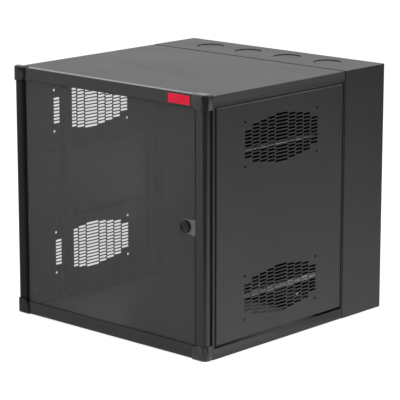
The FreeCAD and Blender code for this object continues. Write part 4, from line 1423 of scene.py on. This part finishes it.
@dataclass
class PackedNodes(Dressing):
    """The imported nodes, dressed in their finishes, also those that a copy stands for later."""

    def special(self) -> dict[str, bpy.types.Material]:
        """Give the nodes whose finish isn't their slot's own; for some of them that finish is
        painted shade.

        Returns:
            The material of each, by the node's name.
        """
        # The left stile's darker copy of the door coat is painted shade.
        own = {"door_stile_left": self.finishes.shaded_hinge_stile,
               "door_caps_left": self.finishes.hinge_cap}
        own |= dict.fromkeys(("door_stile_right", "door_rail_top", "door_rail_bottom"),
                             self.finishes.door)
        own |= dict.fromkeys(("swing_latch_wing_upper", "swing_latch_wing_lower"),
                             self.finishes.wing)
        own |= dict.fromkeys(("body_top_pan", "body_bottom_pan"), self.finishes.pan)
        # The left depth braces and rail brackets are zinc like the right ones; the black rail coat
        # on them is painted shade for the dark left inside.
        own |= dict.fromkeys(("depth_brace_high_left", "depth_brace_low_left",
                              "rail_bracket_high_left", "rail_bracket_low_left"),
                             self.finishes.rail)
        return own

    def dress(self) -> None:
        """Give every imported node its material."""
        special = self.special()
        for name, node in frame["nodes"].items():
            material = special.get(name) or self.finishes.for_slot(slot_of(name))
            if not node.material_slots:
                node.data.materials.append(material)
            for place in node.material_slots:
                place.material = material
        log.info("%d packed nodes dressed", len(frame["nodes"]))


# ---------------------------------------------------------------- studio


@dataclass
class Studio:
    """The pale floor, the white surroundings, the lamps and the camera.

    The floor and the surroundings are white to the eye. What the cabinet mirrors of them has
    levels of its own, because in a real studio the dark front of the room is mirrored too.
    """

    camera_place: tuple[float, float, float] = (3.212, -3.800, 1.059)
    camera_turn: float = 42.62
    camera_tilt: float = 12.91
    lens: float = 184.74
    ambient: float = 0.40
    mirrored: float = 0.90
    dark_side: tuple[float, float, float] = (0.68, -0.73, 0.0)
    darkest: float = 0.03
    left_floor: float = 0.85
    across_fade: Fade = (-0.6, 0.4, 0.0, 1.0)
    slope_fade: Fade = (-0.3, 0.9, 1.0, 0.62)
    behind_fade: Fade = (1.3, 1.75, 1.0, 0.03)
    ahead_fade: Fade = (1.2, 2.2, 1.0, 0.03)
    before_fade: Fade = (-2.4, -0.7, 0.9, 0.55)
    beside_fade: Fade = (-0.68, -0.60, 0.0, 1.0)
    floor_colour: float = 0.80
    floor_lift: float = 0.66
    floor_gap: float = 0.5 * MM
    reach: float = 40.0
    lamps: list[tuple] = field(default_factory=lambda: [
        # name, place, aim, size, power in watts
        ("overhead", (0.2, -0.6, 3.2), (0.0, -0.3, 0.0), 2.6, 62.0),
        ("right front", (3.0, -2.2, 1.6), (0.2, -0.4, 0.0), 1.6, 26.0),
        ("left front", (-2.4, -3.0, 1.4), (-0.1, -0.4, 0.0), 1.6, 18.0),
    ])

    def build(self) -> None:
        """Build the whole studio."""
        self.build_world()
        self.build_floor()
        for name, place, aim, size, power in self.lamps:
            self.add_lamp(name, Vector(place), Vector(aim), size, power)
        self.add_camera()
        bpy.context.scene.view_settings.view_transform = "Standard"

    def sort_rays(self, graph: Graph) -> tuple[bpy.types.NodeSocket, bpy.types.NodeSocket]:
        """Tell apart what is seen straight or through the window, and what is mirrored once.

        Args:
            graph: the tree that asks.

        Returns:
            The sockets that are 1 for the first and for the second, and else 0.
        """
        rays = graph.add("ShaderNodeLightPath").outputs
        bounced = graph.sum("ADD", rays["Diffuse Depth"], rays["Glossy Depth"])
        direct = graph.sum("LESS_THAN", bounced, 0.5)
        through = graph.sum("MULTIPLY", rays["Is Transmission Ray"], direct)
        seen = graph.sum("MAXIMUM", rays["Is Camera Ray"], through)
        once = graph.sum("LESS_THAN", bounced, 1.5)
        return seen, graph.sum("MULTIPLY", rays["Is Glossy Ray"], once)

    def build_world(self) -> None:
        """Make the world white to the eye, a little darker in reflections, and soft as a light."""
        world = bpy.data.worlds.new("surroundings")
        bpy.context.scene.world = world
        world.use_nodes = True
        graph = Graph(world.node_tree)
        world.node_tree.nodes.clear()
        seen, mirror = self.sort_rays(graph)
        towards = graph.add("ShaderNodeTexCoord").outputs["Generated"]
        inputs = {0: towards, 1: self.dark_side}
        ahead = graph.add("ShaderNodeVectorMath", inputs, operation="DOT_PRODUCT").outputs["Value"]
        bright = graph.ramp(ahead, 0.0, 0.6, self.mirrored, self.darkest)
        soft = graph.add("ShaderNodeMix", {0: mirror, 2: self.ambient, 3: bright}).outputs[0]
        strength = graph.sum("MAXIMUM", seen, soft)
        light = graph.add("ShaderNodeBackground", {"Color": (1, 1, 1, 1), "Strength": strength})
        graph.add("ShaderNodeOutputWorld", {"Surface": light.outputs[0]})

    def floor_level(self, graph: Graph) -> bpy.types.NodeSocket:
        """Work out how bright each place of the floor is where the cabinet mirrors it.

        Args:
            graph: the floor's node tree.

        Returns:
            The socket with the level.
        """
        place = graph.add("ShaderNodeTexCoord").outputs["Object"]
        axes = graph.add("ShaderNodeSeparateXYZ", {0: place}).outputs
        slope = graph.ramp(axes["Y"], *self.slope_fade)
        behind = graph.sum("MULTIPLY", slope, graph.ramp(axes["Y"], *self.behind_fade))
        right = graph.ramp(axes["X"], *self.across_fade)
        level = graph.add("ShaderNodeMix", {0: right, 2: self.left_floor, 3: behind}).outputs[0]
        towards = graph.sum("SUBTRACT", axes["X"], axes["Y"])
        ahead = graph.ramp(towards, *self.ahead_fade)
        before = graph.ramp(axes["Y"], *self.before_fade)
        beside = graph.ramp(axes["Y"], *self.beside_fade)
        ahead = graph.sum("MULTIPLY", ahead, graph.sum("MAXIMUM", before, beside))
        return graph.sum("MULTIPLY", level, ahead)

    def build_floor(self) -> None:
        """Make the floor: white to the eye under the cabinet's shadow, with its mirrored levels."""
        ground = PACKED_BOX[0].z - self.floor_gap
        shape = bmesh.new()
        shape.faces.new([shape.verts.new((x * self.reach, y * self.reach, ground))
                         for x, y in ((-1, -1), (1, -1), (1, 1), (-1, 1))])
        material = bpy.data.materials.new("pale floor")
        material.use_nodes = True
        graph = Graph(material.node_tree)
        material.node_tree.nodes.clear()
        seen, mirror = self.sort_rays(graph)
        matt = graph.add("ShaderNodeBsdfDiffuse", {"Color": shade((self.floor_colour,) * 3)})
        lift = graph.sum("MULTIPLY", seen, self.floor_lift)
        glow = graph.add("ShaderNodeEmission", {"Color": (1, 1, 1, 1), "Strength": lift})
        both = graph.add("ShaderNodeAddShader", {0: matt.outputs[0], 1: glow.outputs[0]})
        inputs = {"Color": (1, 1, 1, 1), "Strength": self.floor_level(graph)}
        reflected = graph.add("ShaderNodeEmission", inputs)
        inputs = {0: mirror, 1: both.outputs[0], 2: reflected.outputs[0]}
        mixed = graph.add("ShaderNodeMixShader", inputs)
        graph.add("ShaderNodeOutputMaterial", {"Surface": mixed.outputs[0]})
        floor = new_piece("floor", finish_mesh(shape), material)

    def add_lamp(self, name: str, place: Vector, aim: Vector, size: float, power: float) -> None:
        """Add one soft square lamp.

        Args:
            name: the lamp's name.
            place: where it stands.
            aim: the point that it looks at.
            size: the length of its sides.
            power: its power in watts.
        """
        data = bpy.data.lights.new(name, "AREA")
        data.shape = "RECTANGLE"
        data.size, data.size_y, data.energy = size, size, power
        lamp = bpy.data.objects.new(name, data)
        lamp.location = place
        lamp.rotation_euler = (aim - place).to_track_quat("-Z", "Y").to_euler()
        lamp.visible_glossy = False
        bpy.context.scene.collection.objects.link(lamp)

    def add_camera(self) -> None:
        """Add the camera, to the right of the cabinet and a little above it."""
        data = bpy.data.cameras.new("camera")
        data.sensor_width = 36.0
        data.lens = self.lens
        data.clip_end = 100.0
        camera = bpy.data.objects.new("camera", data)
        camera.location = self.camera_place
        tilt, turn = math.radians(90.0 - self.camera_tilt), math.radians(self.camera_turn)
        camera.rotation_euler = (tilt, 0.0, turn)
        bpy.context.scene.collection.objects.link(camera)
        bpy.context.scene.camera = camera


# ---------------------------------------------------------------- the whole


def main() -> None:
    """Build the finishes, then the cabinet from the wall to the door, then the studio."""
    logging.basicConfig(level=logging.INFO, format="%(name)s: %(message)s")
    finishes = Finishes()
    PackedNodes(finishes).dress()
    SmoothNodes(finishes).build()
    for node in ("wall_top_plate", "wall_bottom_plate"):
        EndPlate(finishes, node=node).build()
    for side in Side:
        VentPanel(finishes, side=side).build()
    DoorLatch(finishes).build()
    BadgePlate(finishes).build()
    Studio().build()


if __name__ == "__main__":
    main()
